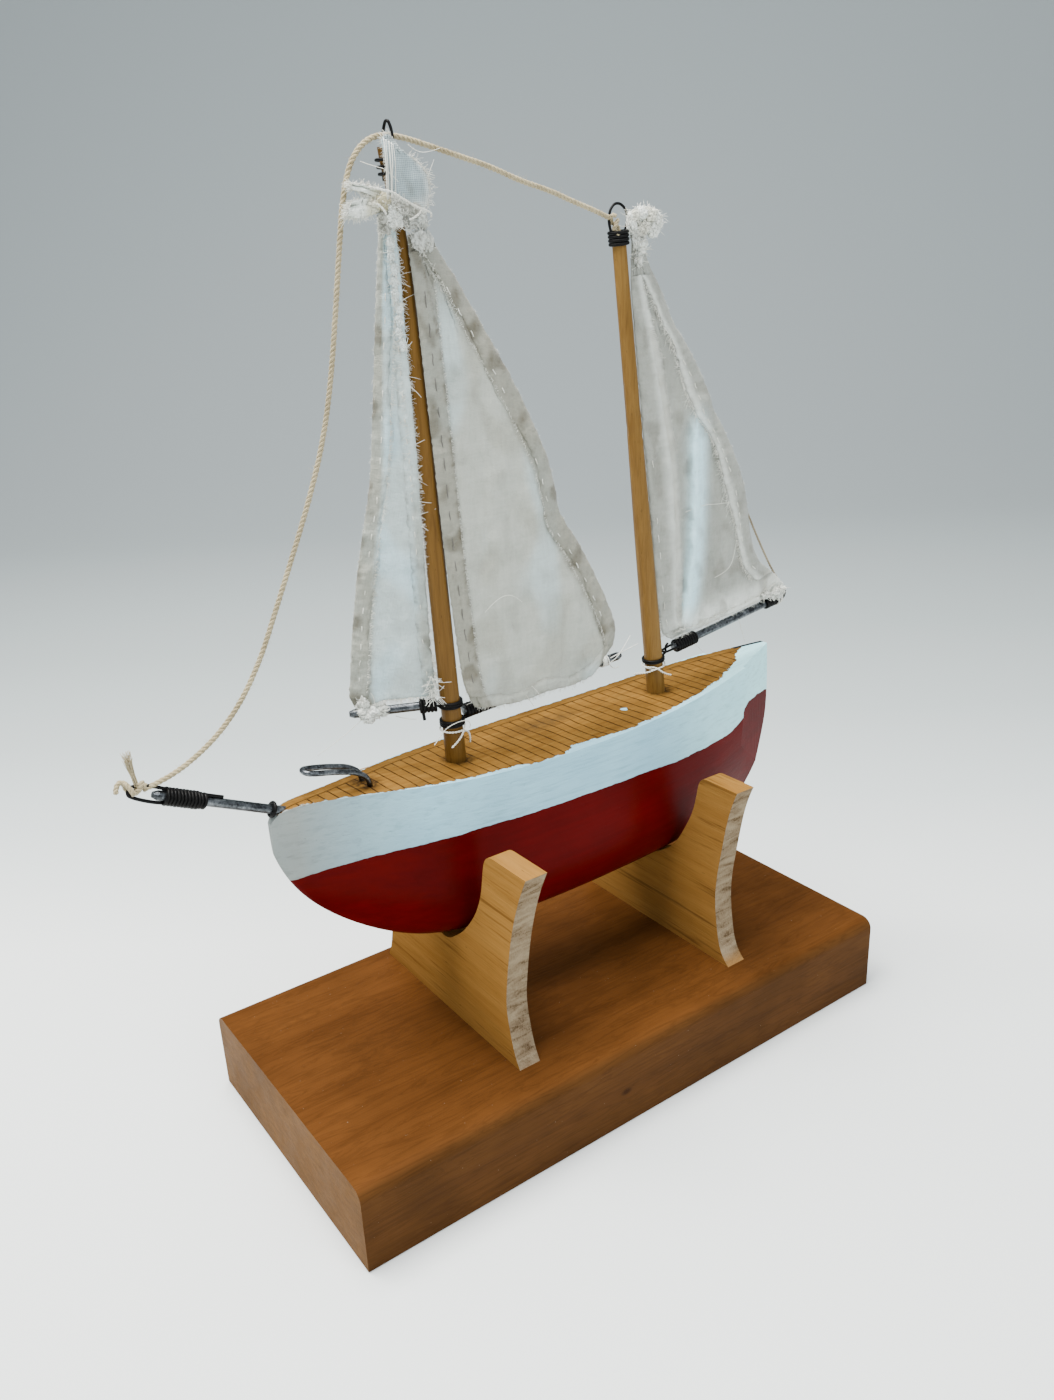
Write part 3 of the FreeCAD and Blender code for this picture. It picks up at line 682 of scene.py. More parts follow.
BOARD = board_look()
PINE = cradle_look()
MAST = mast_look()
HULL = hull_look()
WIRE = wire_look()
NAIL = nail_look()
CLOTH = cloth_look("sailcloth", 0.88, 0.00052)
OPEN_CLOTH = cloth_look("open_weave", 0.45, 0.00062)
TWINE = thread_look("twine_cotton", (0.40, 0.335, 0.20), (0.235, 0.185, 0.095))
FLAX = thread_look("flax_thread", (0.30, 0.25, 0.16), (0.17, 0.135, 0.08))
THREAD = thread_look("white_thread", (0.74, 0.75, 0.69), (0.52, 0.50, 0.42))
GREY_THREAD = thread_look("grey_thread", (0.12, 0.11, 0.095), (0.06, 0.055, 0.05))

for node_name, material in {"base_board": BOARD, "cradle_fore": PINE, "cradle_aft": PINE, "hull": HULL,
                            "main_mast": MAST, "mizzen_mast": MAST, "bowsprit_nail": NAIL,
                            "foredeck_cleat": NAIL, "jib_boom_nail": NAIL, "main_boom_nail": NAIL,
                            "mizzen_boom_nail": NAIL, "stem_ring": WIRE, "bowsprit_wire": WIRE,
                            "main_masthead_wire": WIRE, "mizzen_masthead_wire": WIRE, "jib_boom_wire": WIRE,
                            "main_boom_wire": WIRE, "mizzen_boom_wire": WIRE, "mizzen_ring": WIRE,
                            "mizzen_end_wire": WIRE}.items():
    cad = NODES[node_name]
    cad.data.materials.clear()
    cad.data.materials.append(material)


# --- boom frames: x outward along the boom, z up the raked mast axis

def boom_frame(foot_x, foot_z, slope, height, rake, swing):
    origin = Vector((foot_x + slope * (height - foot_z), CY, height))
    return (Matrix.Translation(origin) @ Matrix.Rotation(math.radians(rake), 4, "Y")
            @ Matrix.Rotation(math.radians(swing), 4, "Z"))


# each mast's foot (x and height) and how far it leans per height, then its rake in degrees
MAIN_MAST = (38.0, 131.5, 4.2 / 123.5)
MAIN_RAKE = 1.95
MIZZEN_MAST = (-55.5, 134.0, 13.9 / 141.0)
MIZZEN_RAKE = 5.61
JIB = boom_frame(*MAIN_MAST, 153.6, MAIN_RAKE, -28.0)
MAIN = boom_frame(*MAIN_MAST, 150.0, MAIN_RAKE, 180.0)
MIZZEN = boom_frame(*MIZZEN_MAST, 149.0, MIZZEN_RAKE, 180.0)


# --- cords

def stay():
    rng = random.Random(3)
    route = [(145.6, 154.6), (139.4, 155.6), (131.2, 158.6), (121.6, 164.4), (112.6, 173.0), (104.4, 185.2),
             (97.4, 199.6), (89.6, 215.6), (82.4, 231.0), (75.8, 247.6), (71.2, 265.0), (67.4, 284.6),
             (64.3, 301.6), (61.8, 314.0), (58.2, 323.6), (51.6, 329.2), (43.2, 329.4), (33.0, 326.9),
             (22.0, 324.0), (11.0, 321.2), (0.2, 317.2), (-11.0, 314.4), (-20.6, 310.9), (-29.0, 308.3),
             (-35.4, 305.8)]
    path = nurbs_path([(x, CY, z) for x, z in route])
    strands = Strands()
    lay_twine(strands, path, 1.7, 3, 4.6)
    twine = strands.piece("stay_twine_laid", "boat", TWINE, "twine")
    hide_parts("stay_twine")
    fuzz = Strands()
    lay_fuzz(fuzz, path, 1.7, 1.6, 1.5, rng)
    hairs = fuzz.piece("stay_twine_fuzz", "boat", TWINE, "twine")

    # knots in the bowsprit's eye, and the frayed tail that stands up from them
    knot = Strands()
    line = [Vector((145.0 + 6.8 * t + 1.5 * math.sin(14.0 * t), CY + 1.5 * math.cos(17.0 * t),
                    155.2 + 1.4 * t + 1.7 * math.sin(22.0 * t + 0.6))) for t in shares(60)]
    lay_twine(knot, line, 1.6, 3, 3.6, 0.3)
    bow_knot = knot.piece("bowsprit_knot", "boat", TWINE, "twine")
    tail = Strands()
    for k in range(46):
        a = rng.uniform(-1, 1)
        b = rng.uniform(-1, 1)
        top = rng.uniform(8.5, 11.5)
        line = []
        for t in shares(8):
            spread = 0.45 + 2.0 * max(0.0, t - 0.45) ** 1.4
            line.append(Vector((147.3 + 1.4 * t + a * spread + 0.3 * math.sin(3 * t + k),
                                CY + b * spread + 0.3 * math.sin(4 * t + 2 * k), 156.4 + top * t)))
        tail.add(line, 0.14, 4, taper=0.5)
    frayed = tail.piece("bowsprit_frayed_tail", "boat", TWINE, "twine")

    # the other end is knotted in the mizzen masthead eye
    far = Strands()
    line = [Vector((-36.2 - 2.0 * t + 1.0 * math.sin(16.0 * t), CY + 1.0 + 1.3 * math.cos(15.0 * t),
                    306.2 - 5.6 * t + 0.9 * math.sin(21.0 * t))) for t in shares(48)]
    lay_twine(far, line, 1.35, 3, 3.4, 0.3)
    far_knot = far.piece("mizzen_head_knot", "boat", TWINE, "twine")


stay()


def lift_line():
    route = [(9.0, 0.95, 145.0), (14.6, 2.2, 134.4), (24.4, 2.6, 113.6), (34.8, 2.4, 91.8),
             (44.6, 2.6, 69.4), (54.6, 2.4, 46.2), (63.2, 2.4, 26.4), (70.0, 1.8, 11.6), (73.4, 0.5, 5.4)]
    path = nurbs_path(in_frame(MIZZEN, route))
    strands = Strands()
    lay_twine(strands, path, 1.0, 2, 2.6, 0.3)
    line = strands.piece("boom_lift_line_laid", "mizzen_boom", FLAX)
    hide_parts("boom_lift_line")


lift_line()


def lashing(name, node, matrix, body, height, first, step, lead_in, lead_out, extra):
    points = list(lead_in)
    for corner in range(9):
        a = math.radians(first + corner * step)
        points.append((4.75 * math.cos(a), 4.75 * math.sin(a), height - 0.11 * corner))
    points += lead_out
    path = nurbs_path(in_frame(matrix, points))
    strands = Strands()
    lay_twine(strands, path, 0.7, 2, 2.2, 0.25)
    cord = strands.piece(name, body)
    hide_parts(node)
    more = Strands()
    for line in extra:
        lay_twine(more, nurbs_path(in_frame(matrix, line)), 0.34, 2, 1.6, 0.25)
    ends = more.piece(name + "_ends", body)


lashing("main_lashing_thread", "main_lashing", MAIN, "main_boom", -5.1, -60.0, 45.0,
        [(-4.5, -5.6, -10.3), (-0.6, -5.8, -8.2)], [(4.9, -3.3, -8.6), (5.4, -1.6, -12.7)],
        [[(-9.8, -3.2, -8.3), (-7.0, -3.4, -5.6), (-4.6, -4.1, -3.0), (0.0, -5.0, -1.9), (3.4, -4.2, -2.8),
          (5.6, -3.2, -5.0), (4.4, -3.9, -6.2)]])
lashing("mizzen_lashing_thread", "mizzen_lashing", MIZZEN, "mizzen_boom", -3.6, 240.0, -45.0,
        [(3.6, -5.6, -8.6), (-0.3, -6.0, -6.6)], [(-7.0, -3.1, -4.9), (-12.2, -2.4, -3.4)],
        [[(-8.5, -3.2, -1.2), (-5.0, -3.8, -4.0), (-2.0, -4.6, -4.6)]])


# --- sails

def spline_points(points, count):
    """Evenly spaced points on a smooth line through the given ones."""
    points = [Vector(p) for p in points]
    dense = []
    padded = [2 * points[0] - points[1]] + points + [2 * points[-1] - points[-2]]
    for a, b, c, d in zip(padded, padded[1:], padded[2:], padded[3:]):
        for k in range(8):
            t = k / 8.0
            dense.append(0.5 * ((2 * b) + (c - a) * t + (2 * a - 5 * b + 4 * c - d) * t * t
                                + (3 * b - a - 3 * c + d) * t ** 3))
    dense.append(points[-1])
    lengths = [0.0]
    for a, b in zip(dense, dense[1:]):
        lengths.append(lengths[-1] + (b - a).length)
    result = []
    j = 0
    for i in range(count + 1):
        want = lengths[-1] * i / count
        while j < len(lengths) - 2 and lengths[j + 1] < want:
            j += 1
        span = max(1e-9, lengths[j + 1] - lengths[j])
        result.append(dense[j].lerp(dense[j + 1], min(1.0, (want - lengths[j]) / span)))
    return result


class Panel:
    """Cloth between four measured edges, in a boom's frame: out from the mast, height above the boom.

    tone gives its colour and bulge its distance from the frame's middle plane at each point.
    """

    def __init__(self, matrix, body, plane, edges, across, up, seed, ragged, tone, bulge):
        self.matrix = matrix
        self.body = body
        self.plane = plane
        self.eye = matrix.inverted() @ EYE
        self.nu = across
        self.nv = up
        self.seed = seed
        self.tone = tone
        self.bulge = bulge
        self.edges = []
        for k, (line, count) in enumerate(zip(edges, (up, up, across, across))):
            rough = []
            for i, p in enumerate(spline_points([(x, z, 0.0) for x, z in line], count)):
                shake = ragged * smooth(0, 3, min(i, count - i))
                turn = Vector((wobble(i * 0.9, seed + k * 3.3), wobble(i * 0.9, seed + k * 3.3 + 9.0), 0))
                rough.append(p + turn * shake)
            self.edges.append(rough)

    def flat(self, i, j):
        luff, leech, foot, head = self.edges
        u = i / self.nu
        v = j / self.nv
        corner = ((1 - u) * (1 - v) * luff[0] + u * (1 - v) * leech[0] + (1 - u) * v * luff[-1] + u * v
                  * leech[-1])
        return (1 - u) * luff[j] + u * leech[j] + (1 - v) * foot[i] + v * head[i] - corner

    def flat_at(self, u, v):
        x = min(self.nu - 1e-6, max(0.0, u * self.nu))
        y = min(self.nv - 1e-6, max(0.0, v * self.nv))
        i, j = int(x), int(y)
        a, b = x - i, y - j
        low = self.flat(i, j) * (1 - a) + self.flat(i + 1, j) * a
        high = self.flat(i, j + 1) * (1 - a) + self.flat(i + 1, j + 1) * a
        return low * (1 - b) + high * b

    def placed(self, out, up, depth):
        """A point off the sail's plane, slid along the line of sight so that the outline stays put."""
        base = Vector((out, self.plane, up))
        return self.matrix @ (base + (self.eye - base) * ((depth - self.plane) / (self.eye.y - self.plane)))

    def spot(self, u, v, p, lift):
        return self.placed(p[0], p[1], self.bulge(u, v, p[0], p[1]) + lift)

    def at(self, u, v, lift=0.0):
        return self.spot(u, v, self.flat_at(u, v), lift)

    def inside(self, side, share, deep, most=math.inf):
        """u and v of the point that is deep millimetres in from an edge, at a share of that edge's length."""
        upright = side in ("luff", "leech")
        near, far = ((0.0, share), (1.0, share)) if upright else ((share, 0.0), (share, 1.0))
        span = max(1.0, (self.flat_at(*far) - self.flat_at(*near)).length)
        inward = min(most, deep / span)
        if side in ("leech", "head"):
            inward = 1.0 - inward
        return (inward, share) if upright else (share, inward)

    def cloth(self, name, spots, columns, thickness, material):
        """Cloth through a grid of spots: u, v, the point there, its lift, its share across a hem."""
        verts = [self.spot(u, v, p, lift) for u, v, p, lift, part in spots]
        colours = [self.tone(self, u, v, p[0], p[1], part) for u, v, p, lift, part in spots]
        uvs = [(p[0] * MM, p[1] * MM) for u, v, p, lift, part in spots]
        faces = grid_faces(columns, len(spots) // (columns + 1) - 1)
        obj = finish_mesh(name, verts, faces, material, self.body, colours, uvs)
        thicken(obj, thickness)
        return obj

    def sheet(self, name, thickness=0.42, material=None):
        spots = [(i / self.nu, j / self.nv, self.flat(i, j), 0.0, None)
                 for j in range(self.nv + 1) for i in range(self.nu + 1)]
        return self.cloth(name, spots, self.nu, thickness, material or CLOTH)

    def strip(self, name, side, width, lift, start, end, count=240, layers=8):
        """A folded hem: a second layer along one edge. side is luff, leech or foot."""
        spots = []
        for t in shares(count):
            share = start + (end - start) * t
            wide = width(share) + 0.45 * wobble(share * 66.0, self.seed + 4.0)
            for part in shares(layers):
                u, v = self.inside(side, share, wide * part, 0.96)
                puff = lift * (0.55 + 0.75 * math.sin(math.pi * min(1.0, part * 1.1)))
                puff *= (1.0 + 0.35 * wobble(share * 38.0, part * 2.0, self.seed)
                         + 0.55 * wobble(share * 110.0, part * 1.5, self.seed + 7.0))
                spots.append((u, v, self.flat_at(u, v), puff, part))
        return self.cloth(name, spots, layers, 0.34, CLOTH)


CREAM = Vector((0.44, 0.455, 0.40))
WARM = Vector((0.245, 0.228, 0.165))
GREY = Vector((0.235, 0.240, 0.212))
# colour of real stains on the cloth, and also of the painted shade in the creases of the cloth gathers
STAIN_AND_CREASE_SHADE = Vector((0.080, 0.062, 0.032))
# painted highlight: a pale bluish tone blended into the sail cloth where crumples catch the light
BLUE_HIGHLIGHT = Vector((0.51, 0.68, 0.73))
WHITE = Vector((0.82, 0.85, 0.79))
# painted highlight: the bright blue-white of the mizzen's lit fold
FOLD_HIGHLIGHT = Vector((0.60, 0.88, 0.96))
THIN = Vector((0.34, 0.42, 0.44))
YELLOWED = Vector((0.46, 0.42, 0.26))


def smudged(tone, panel, out, up, amount):
    blotch = smooth(0.16, 0.46, wobble(out * 0.17, up * 0.11, panel.seed + 11.0))
    speck = smooth(0.20, 0.50, wobble(out * 0.9, up * 0.45, panel.seed + 19.0))
    return tone.lerp(STAIN_AND_CREASE_SHADE, min(0.75, amount * (0.55 * blotch + 0.22 * speck)))


def hem_share(panel, v, out, inner, outer):
    """How far inside the two hems a point is: 1 on a hem, 0 on the open cloth."""
    luff_gap = out - panel.flat_at(0.0, v)[0]
    leech_gap = panel.flat_at(1.0, v)[0] - out
    return max(1.0 - smooth(inner - 1.2, inner + 0.8, luff_gap),
               1.0 - smooth(outer - 1.4, outer + 1.0, leech_gap))


def raw_edge(tone, panel, up, part, strength):
    """The folded-under edge of a hem shows as a soiled, speckled line."""
    dirt = smooth(0.70, 0.93, part) * smooth(-0.25, 0.25, wobble(up * 0.30, panel.seed + 2.0))
    speck = 0.55 + 0.45 * smooth(-0.1, 0.3, wobble(up * 2.3, part * 3.0, panel.seed))
    return tone.lerp(STAIN_AND_CREASE_SHADE, strength * dirt * speck)


def main_tone(panel, u, v, out, up, part=None):
    hem = hem_share(panel, v, out, 7.4, 6.4)
    # painted highlight: patches of the main's open cloth are blended towards the pale blue highlight tone
    body = CREAM.lerp(BLUE_HIGHLIGHT, 0.40 * smooth(0.05, 0.5, wobble(out * 0.06 + 3.0, up * 0.04, 7.0)))
    body = body.lerp(WARM, 0.30 * smooth(0.05, 0.45, wobble(out * 0.08, up * 0.06, 13.0)))
    tone = body.lerp(GREY.lerp(WARM, 0.65), 0.80 * hem)
    tone = tone.lerp(GREY, 0.45 * smooth(0.80, 0.97, v))
    tone = smudged(tone, panel, out, up, 0.25 + 0.75 * hem)
    if part is not None:
        luff_side = out - panel.flat_at(0.0, v)[0] < 9.0
        tone = raw_edge(tone, panel, up, part, 0.85 if luff_side else 0.45)
    return tone


def jib_tone(panel, u, v, out, up, part=None):
    hem = max(1.0 - smooth(0.20, 0.34, u), 0.75 * smooth(0.80, 0.92, u) * (1.0 - smooth(0.3, 0.6, v)))
    # painted highlight: the jib's open cloth is blended 45 to 90 per cent towards the pale blue highlight
    # tone
    body = CREAM.lerp(BLUE_HIGHLIGHT, 0.45 + 0.45 * smooth(-0.1, 0.4, wobble(out * 0.08, up * 0.05, 3.0)))
    tone = body.lerp(WARM.lerp(CREAM, 0.25), 0.85 * hem)
    tone = smudged(tone, panel, out, up, 0.12 + 0.95 * hem)
    if part is not None:
        tone = raw_edge(tone, panel, up, part, 0.5)
    return tone


MIZZEN_FOLD = [(0.0, 17.0), (6.0, 18.5), (32.0, 25.0), (58.0, 28.6), (80.0, 30.4), (110.0, 31.0)]
MIZZEN_HEM = [(0.0, 10.5), (0.2, 14.2), (0.45, 15.6), (0.72, 11.4), (0.90, 5.0)]


def mizzen_tone(panel, u, v, out, up, part=None):
    grey = GREY.lerp(CREAM, 0.30 + 0.25 * smooth(-0.2, 0.4, wobble(out * 0.10, up * 0.05, 6.0)))
    gap = out - lerp_table(MIZZEN_FOLD, up)
    fold = math.exp(-(gap / 4.2) ** 2) * (1.0 - smooth(74.0, 92.0, up))
    # painted highlight: a bright band along the fold line, fading out above about 80 mm
    tone = grey.lerp(FOLD_HIGHLIGHT, min(1.0, 1.3 * fold))
    foot = 1.0 - smooth(5.0, 17.0, up)
    tone = tone.lerp(WHITE.lerp(WARM, 0.25 * smooth(0.0, 0.4, wobble(out * 0.2, up * 0.2))), 0.8 * foot)
    hem = 1.0 - smooth(-1.0, 1.0, out - panel.flat_at(0.0, v)[0] - lerp_table(MIZZEN_HEM, v))
    tone = tone.lerp(GREY.lerp(CREAM, 0.45), 0.6 * hem)
    tone = smudged(tone, panel, out, up, 0.55)
    if part is not None:
        bright = smooth(0.45, 0.8, part) * (1.0 - smooth(0.93, 1.0, part))
        tone = raw_edge(tone.lerp(WHITE, 0.55 * bright), panel, up, part, 0.35)
    return tone


def flap_tone(panel, u, v, out, up, part=None):
    tone = THIN.lerp(WHITE, 0.6 * (1.0 - smooth(0.0, 0.3, v)) + 0.4 * smooth(0.85, 1.0, u))
    return tone.lerp(GREY, 0.35 * smooth(0.0, 0.4, wobble(out * 0.3, up * 0.2, 4.0)))


def tuft_tone(panel, u, v, out, up, part=None):
    return WHITE.lerp(YELLOWED, 0.85 * (1.0 - smooth(0.1, 0.6, v)))


def fray(strands, panel, rng, side, low, high, number, length, lift=0.0, radius=0.07, inset=0.0, curl=0.5):
    """Loose ends of the weave along an edge, or inset from it by a distance or a function of the share."""
    step = 0.01
    inner_step = step if side in ("luff", "foot") else -step
    for _ in range(number):
        share = rng.uniform(low, high)
        deep = inset(share) if callable(inset) else inset
        u, v = panel.inside(side, share, deep)
        base = panel.at(u, v, lift)
        if side in ("luff", "leech"):
            inner = panel.at(u + inner_step, v, lift)
            along = panel.at(u, min(1.0, v + step), lift) - panel.at(u, max(0.0, v - step), lift)
        else:
            inner = panel.at(u, v + inner_step, lift)
            along = panel.at(min(1.0, u + step), v, lift) - panel.at(max(0.0, u - step), v, lift)
        out = (base - inner).normalized()
        if deep > 0.0:
            out = -out
        along = along.normalized() if along.length > 1e-6 else Vector((0, 0, 1))
        face = out.cross(along).normalized()
        reach = length * rng.uniform(0.3, 1.25)
        way = (out + along * rng.uniform(-0.9, 0.9) + face * rng.uniform(-0.5, 0.5)).normalized()
        bend = (along * rng.uniform(-1, 1) + face * rng.uniform(-1, 1) - Vector((0, 0, 0.3))) * curl
        line = arc(base - out * 0.25, way, bend, reach)
        strands.add(line, radius * rng.uniform(0.7, 1.3), 4, taper=0.45)


def fringe(strands, panel, rng, rows):
    for row in rows:
        fray(strands, panel, rng, *row)


def stitches(strands, panel, side, inset, low, high, dash, gap, lift, radius, skip=0.0, rng=None):
    """Running stitches: short lengths of thread lying on the cloth."""
    length = (panel.flat_at(0.0, high) - panel.flat_at(0.0, low)).length
    where = 0.0
    while where + dash < length:
        if rng is None or rng.random() > skip:
            depth = inset + 0.3 * wobble(where * 0.2, panel.seed)
            line = []
            for t in shares(5):
                v = low + (high - low) * (where + dash * t) / length
                hump = math.sin(math.pi * t)
                line.append(panel.at(*panel.inside(side, v, depth), lift * (0.45 + 0.55 * hump)))
            strands.add(line, radius, 6)
        where += dash + gap * (1.0 + 0.5 * wobble(where * 0.7, panel.seed + 3.0))


class Wads:
    """Small crumpled gathers of cloth with their loose fibres."""

    def __init__(self, matrix, rng):
        self.matrix = matrix
        self.rng = rng
        self.parts = ([], [], [], [])
        self.fibres = Strands()

    def add(self, centre, size, tone, fibres, length, lean=(0.0, 0.0, 0.0)):
        """One lump: a ball with creases, seen through its fibres. lean draws the fibres one way."""
        verts, faces, tones, uvs = self.parts
        centre, size, lean = Vector(centre), Vector(size), Vector(lean)
        scale = Matrix.Diagonal(size)
        seed = self.rng.uniform(0, 90)
        rings, turns = 22, 34
        start = len(verts)
        for j in range(rings + 1):
            lat = 0.05 + (math.pi - 0.10) * j / rings
            for i in range(turns):
                a = 2 * math.pi * i / turns
                d = Vector((math.sin(lat) * math.cos(a), math.sin(lat) * math.sin(a), math.cos(lat)))
                big = wobble(d.x * 1.5 + seed, d.y * 1.5, d.z * 1.5)
                crease = abs(wobble(d.x * 2.3 + seed * 1.7, d.y * 2.3 + 4.0, d.z * 2.3))
                small = abs(wobble(d.x * 5.0 + seed, d.y * 5.0, d.z * 5.0 + 9.0))
                r = 0.74 + 0.30 * big + 0.75 * min(crease, 0.42) + 0.30 * min(small, 0.4)
                verts.append(self.matrix @ (centre + scale @ d * r))
                # painted shade: the hollows of the creases are darkened towards the stain colour
                hollow = 1.0 - smooth(0.02, 0.20, crease)
                tones.append(tone.lerp(STAIN_AND_CREASE_SHADE, 0.60 * hollow))
                uvs.append((a * size.x * MM, lat * size.z * MM))
        for j in range(rings):
            for i in range(turns):
                a = start + j * turns + i
                b = start + j * turns + (i + 1) % turns
                faces.append((a, a + turns, b + turns, b))
        faces.append(tuple(start + i for i in range(turns)))
        faces.append(tuple(start + rings * turns + i for i in reversed(range(turns))))
        for _ in range(fibres):
            d = Vector((self.rng.gauss(0, 1), self.rng.gauss(0, 1), self.rng.gauss(0, 1))).normalized()
            base = centre + scale @ d * 0.85
            turn = scatter(self.rng)
            way = (d + turn * 0.8 + lean).normalized()
            bend = turn.cross(way) * 0.9
            reach = length * self.rng.uniform(0.4, 1.3)
            line = in_frame(self.matrix, arc(base, way, bend, reach))
            self.fibres.add(line, 0.085 * self.rng.uniform(0.7, 1.5), 4, taper=0.5)

    def pieces(self, name, body):
        verts, faces, tones, uvs = self.parts
        cloth = finish_mesh(name, verts, faces, CLOTH, body, tones, uvs)
        return [cloth, self.fibres.piece(name + "_fibres", body)]


# mainsail: its cloth hangs on the port side of boom and mast

def main_bulge(u, v, out, up):
    belly = -1.5 * math.sin(math.pi * min(1.0, u)) * math.sin(math.pi * min(1.0, 0.1 + v * 0.9))
    folds = 0.55 * math.sin(out * 0.42 + 1.2 * math.sin(up * 0.035)) * smooth(3, 12, out) * (1 - 0.6 * v)
    crumple = 0.7 * wobble(out * 0.11, up * 0.07, 1.3) + 0.75 * wobble(out * 0.20, up * 0.15,
                                                                       4.1) * smooth(2, 10, out)
    pucker = 0.30 * wobble(out * 0.30, up * 0.55, 6.0) * smooth(0.55, 0.95, u)
    corner = -1.4 * (1.0 - smooth(0.0, 16.0, up)) * math.sin(out * 0.21 + 0.5)
    return -3.5 + belly + folds + crumple + pucker + corner


def make_main_sail():
    rng = random.Random(11)
    luff = [(7.6, 0.6), (5.4, 6.0), (3.8, 14.0), (2.4, 40.0), (1.7, 60.0), (1.5, 80.0), (1.0, 110.0),
            (0.6, 134.9), (0.1, 146.0), (0.0, 152.8)]
    leech = [(70.0, 6.6), (71.4, 11.6), (71.0, 16.2), (66.3, 28.7), (58.2, 45.5), (51.0, 57.6),
             (48.3, 63.8), (47.9, 69.0), (45.4, 79.9), (39.8, 94.1), (33.2, 107.9), (24.1, 124.3),
             (16.0, 138.6), (9.6, 148.6), (7.4, 153.6)]
    foot = [(7.6, 0.6), (12.0, -0.9), (20.8, -2.3), (31.7, -3.2), (38.5, -2.8), (49.9, -3.6), (59.5, -2.4),
            (64.5, 1.6), (70.0, 6.6)]
    head = [(0.0, 152.8), (3.6, 153.8), (7.4, 153.6)]
    panel = Panel(MAIN, "main_boom", -3.3, (luff, leech, foot, head), 60, 140, 2.0, 0.42, main_tone,
                  main_bulge)
    sail = panel.sheet("main_sail_cloth")
    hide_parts("main_sail")

    def luff_width(v):
        return 7.4 - 3.4 * smooth(0.75, 1.0, v)

    def leech_width(v):
        return 6.2 + 1.2 * math.sin(v * 21.0) - 2.5 * smooth(0.85, 1.0, v)

    def foot_width(u):
        return 4.6 + 0.9 * math.sin(u * 17.0)

    hems = [panel.strip("main_sail_luff_hem", "luff", luff_width, -0.45, 0.03, 0.97),
            panel.strip("main_sail_leech_hem", "leech", leech_width, -0.5, 0.02, 0.97),
            panel.strip("main_sail_foot_hem", "foot", foot_width, -0.45, 0.04, 0.95, 90)]
    dashes = Strands()
    stitches(dashes, panel, "luff", 3.6, 0.06, 0.93, 5.0, 3.2, -0.95, 0.16)
    seam = dashes.piece("main_sail_stitches", "main_boom", GREY_THREAD)
    pale = Strands()
    stitches(pale, panel, "leech", 4.4, 0.1, 0.92, 2.0, 4.6, -1.1, 0.17, 0.35, rng)
    loose = Strands()
    fringe(loose, panel, rng, [("luff", 0.03, 0.98, 420, 0.9, -0.7, 0.055, 7.2),
                               ("leech", 0.03, 0.98, 360, 1.1, -0.8, 0.055, 6.4),
                               ("leech", 0.0, 0.99, 420, 0.9, 0.0, 0.05),
                               ("foot", 0.0, 1.0, 260, 1.4, 0.0, 0.06),
                               ("luff", 0.0, 0.12, 40, 2.0, 0.0, 0.06),
                               ("leech", 0.84, 0.97, 60, 2.0, -1.0, 0.07, 5.0)])
    lay_threads(pale, MAIN, [[(26.0, -3.4, 3.4), (27.5, -6.0, 0.4), (30.4, -6.2, -5.2)],
                             [(30.4, -3.4, 3.0), (31.6, -6.0, 1.4), (33.4, -6.4, -2.0)],
                             [(14.0, -5.4, 34.0), (18.0, -6.6, 38.0), (25.0, -6.6, 38.4),
                              (29.0, -5.8, 34.0)]], 0.1)
    gathers = Wads(MAIN, rng)
    gathers.add((2.6, -5.0, 151.4), (2.3, 1.3, 3.0), GREY.lerp(WHITE, 0.55), 40, 1.8)
    gathers.add((6.0, -4.4, 150.8), (1.8, 1.1, 2.8), GREY.lerp(WHITE, 0.45), 24, 1.4)
    ends = loose.piece("main_sail_fray", "main_boom")
    loops = pale.piece("main_sail_loose_threads", "main_boom")
    hems + [seam, ends, loops] + gathers.pieces("main_sail_head_gathers", "main_boom")

    # binding at the outer corner and its loose threads
    bind = Strands()
    for k in range(5):
        line = []
        for t in shares(24):
            a = 2 * math.pi * t * 1.02
            line.append((66.0 + k * 0.8 + 0.5 * math.sin(a * 0.5 + k), 2.0 * math.cos(a) - 0.3,
                         0.05 + 2.0 * math.sin(a)))
        bind.add(in_frame(MAIN, line), 0.26, 6)
    lay_threads(bind, MAIN, [[(68.0, -1.6, -1.4), (72.0, -2.6, 0.2), (76.0, -2.8, 4.2), (79.5, -2.4, 7.6)],
                             [(69.5, -1.8, -1.6), (70.4, -2.6, -3.8), (73.0, -2.8, -3.0)],
                             [(70.0, -1.8, 1.0), (75.0, -3.0, 2.6), (83.0, -2.6, 3.4)]], 0.22, 5, 0.3)
    bind.piece("main_sail_clew_binding", "main_boom")


make_main_sail()


# jib: its luff here is the free outer edge, its leech the edge beside the mast, which passes in front of it

def jib_bulge(u, v, out, up):
    near_mast = 2.5 * smooth(0.55, 1.0, u) * smooth(0.15, 0.55, v)
    crumple = 0.8 * wobble(out * 0.13, up * 0.06, 7.7) + 0.8 * wobble(out * 0.24, up * 0.17, 2.2)
    folds = 0.6 * math.sin(out * 0.5 + 1.5 * math.sin(up * 0.03 + 1.0)) * (1 - v)
    pucker = 0.35 * wobble(out * 0.3, up * 0.5, 12.0) * (1.0 - smooth(0.1, 0.5, u))
    return near_mast + crumple + folds + pucker + 0.9 * math.sin(math.pi * u)


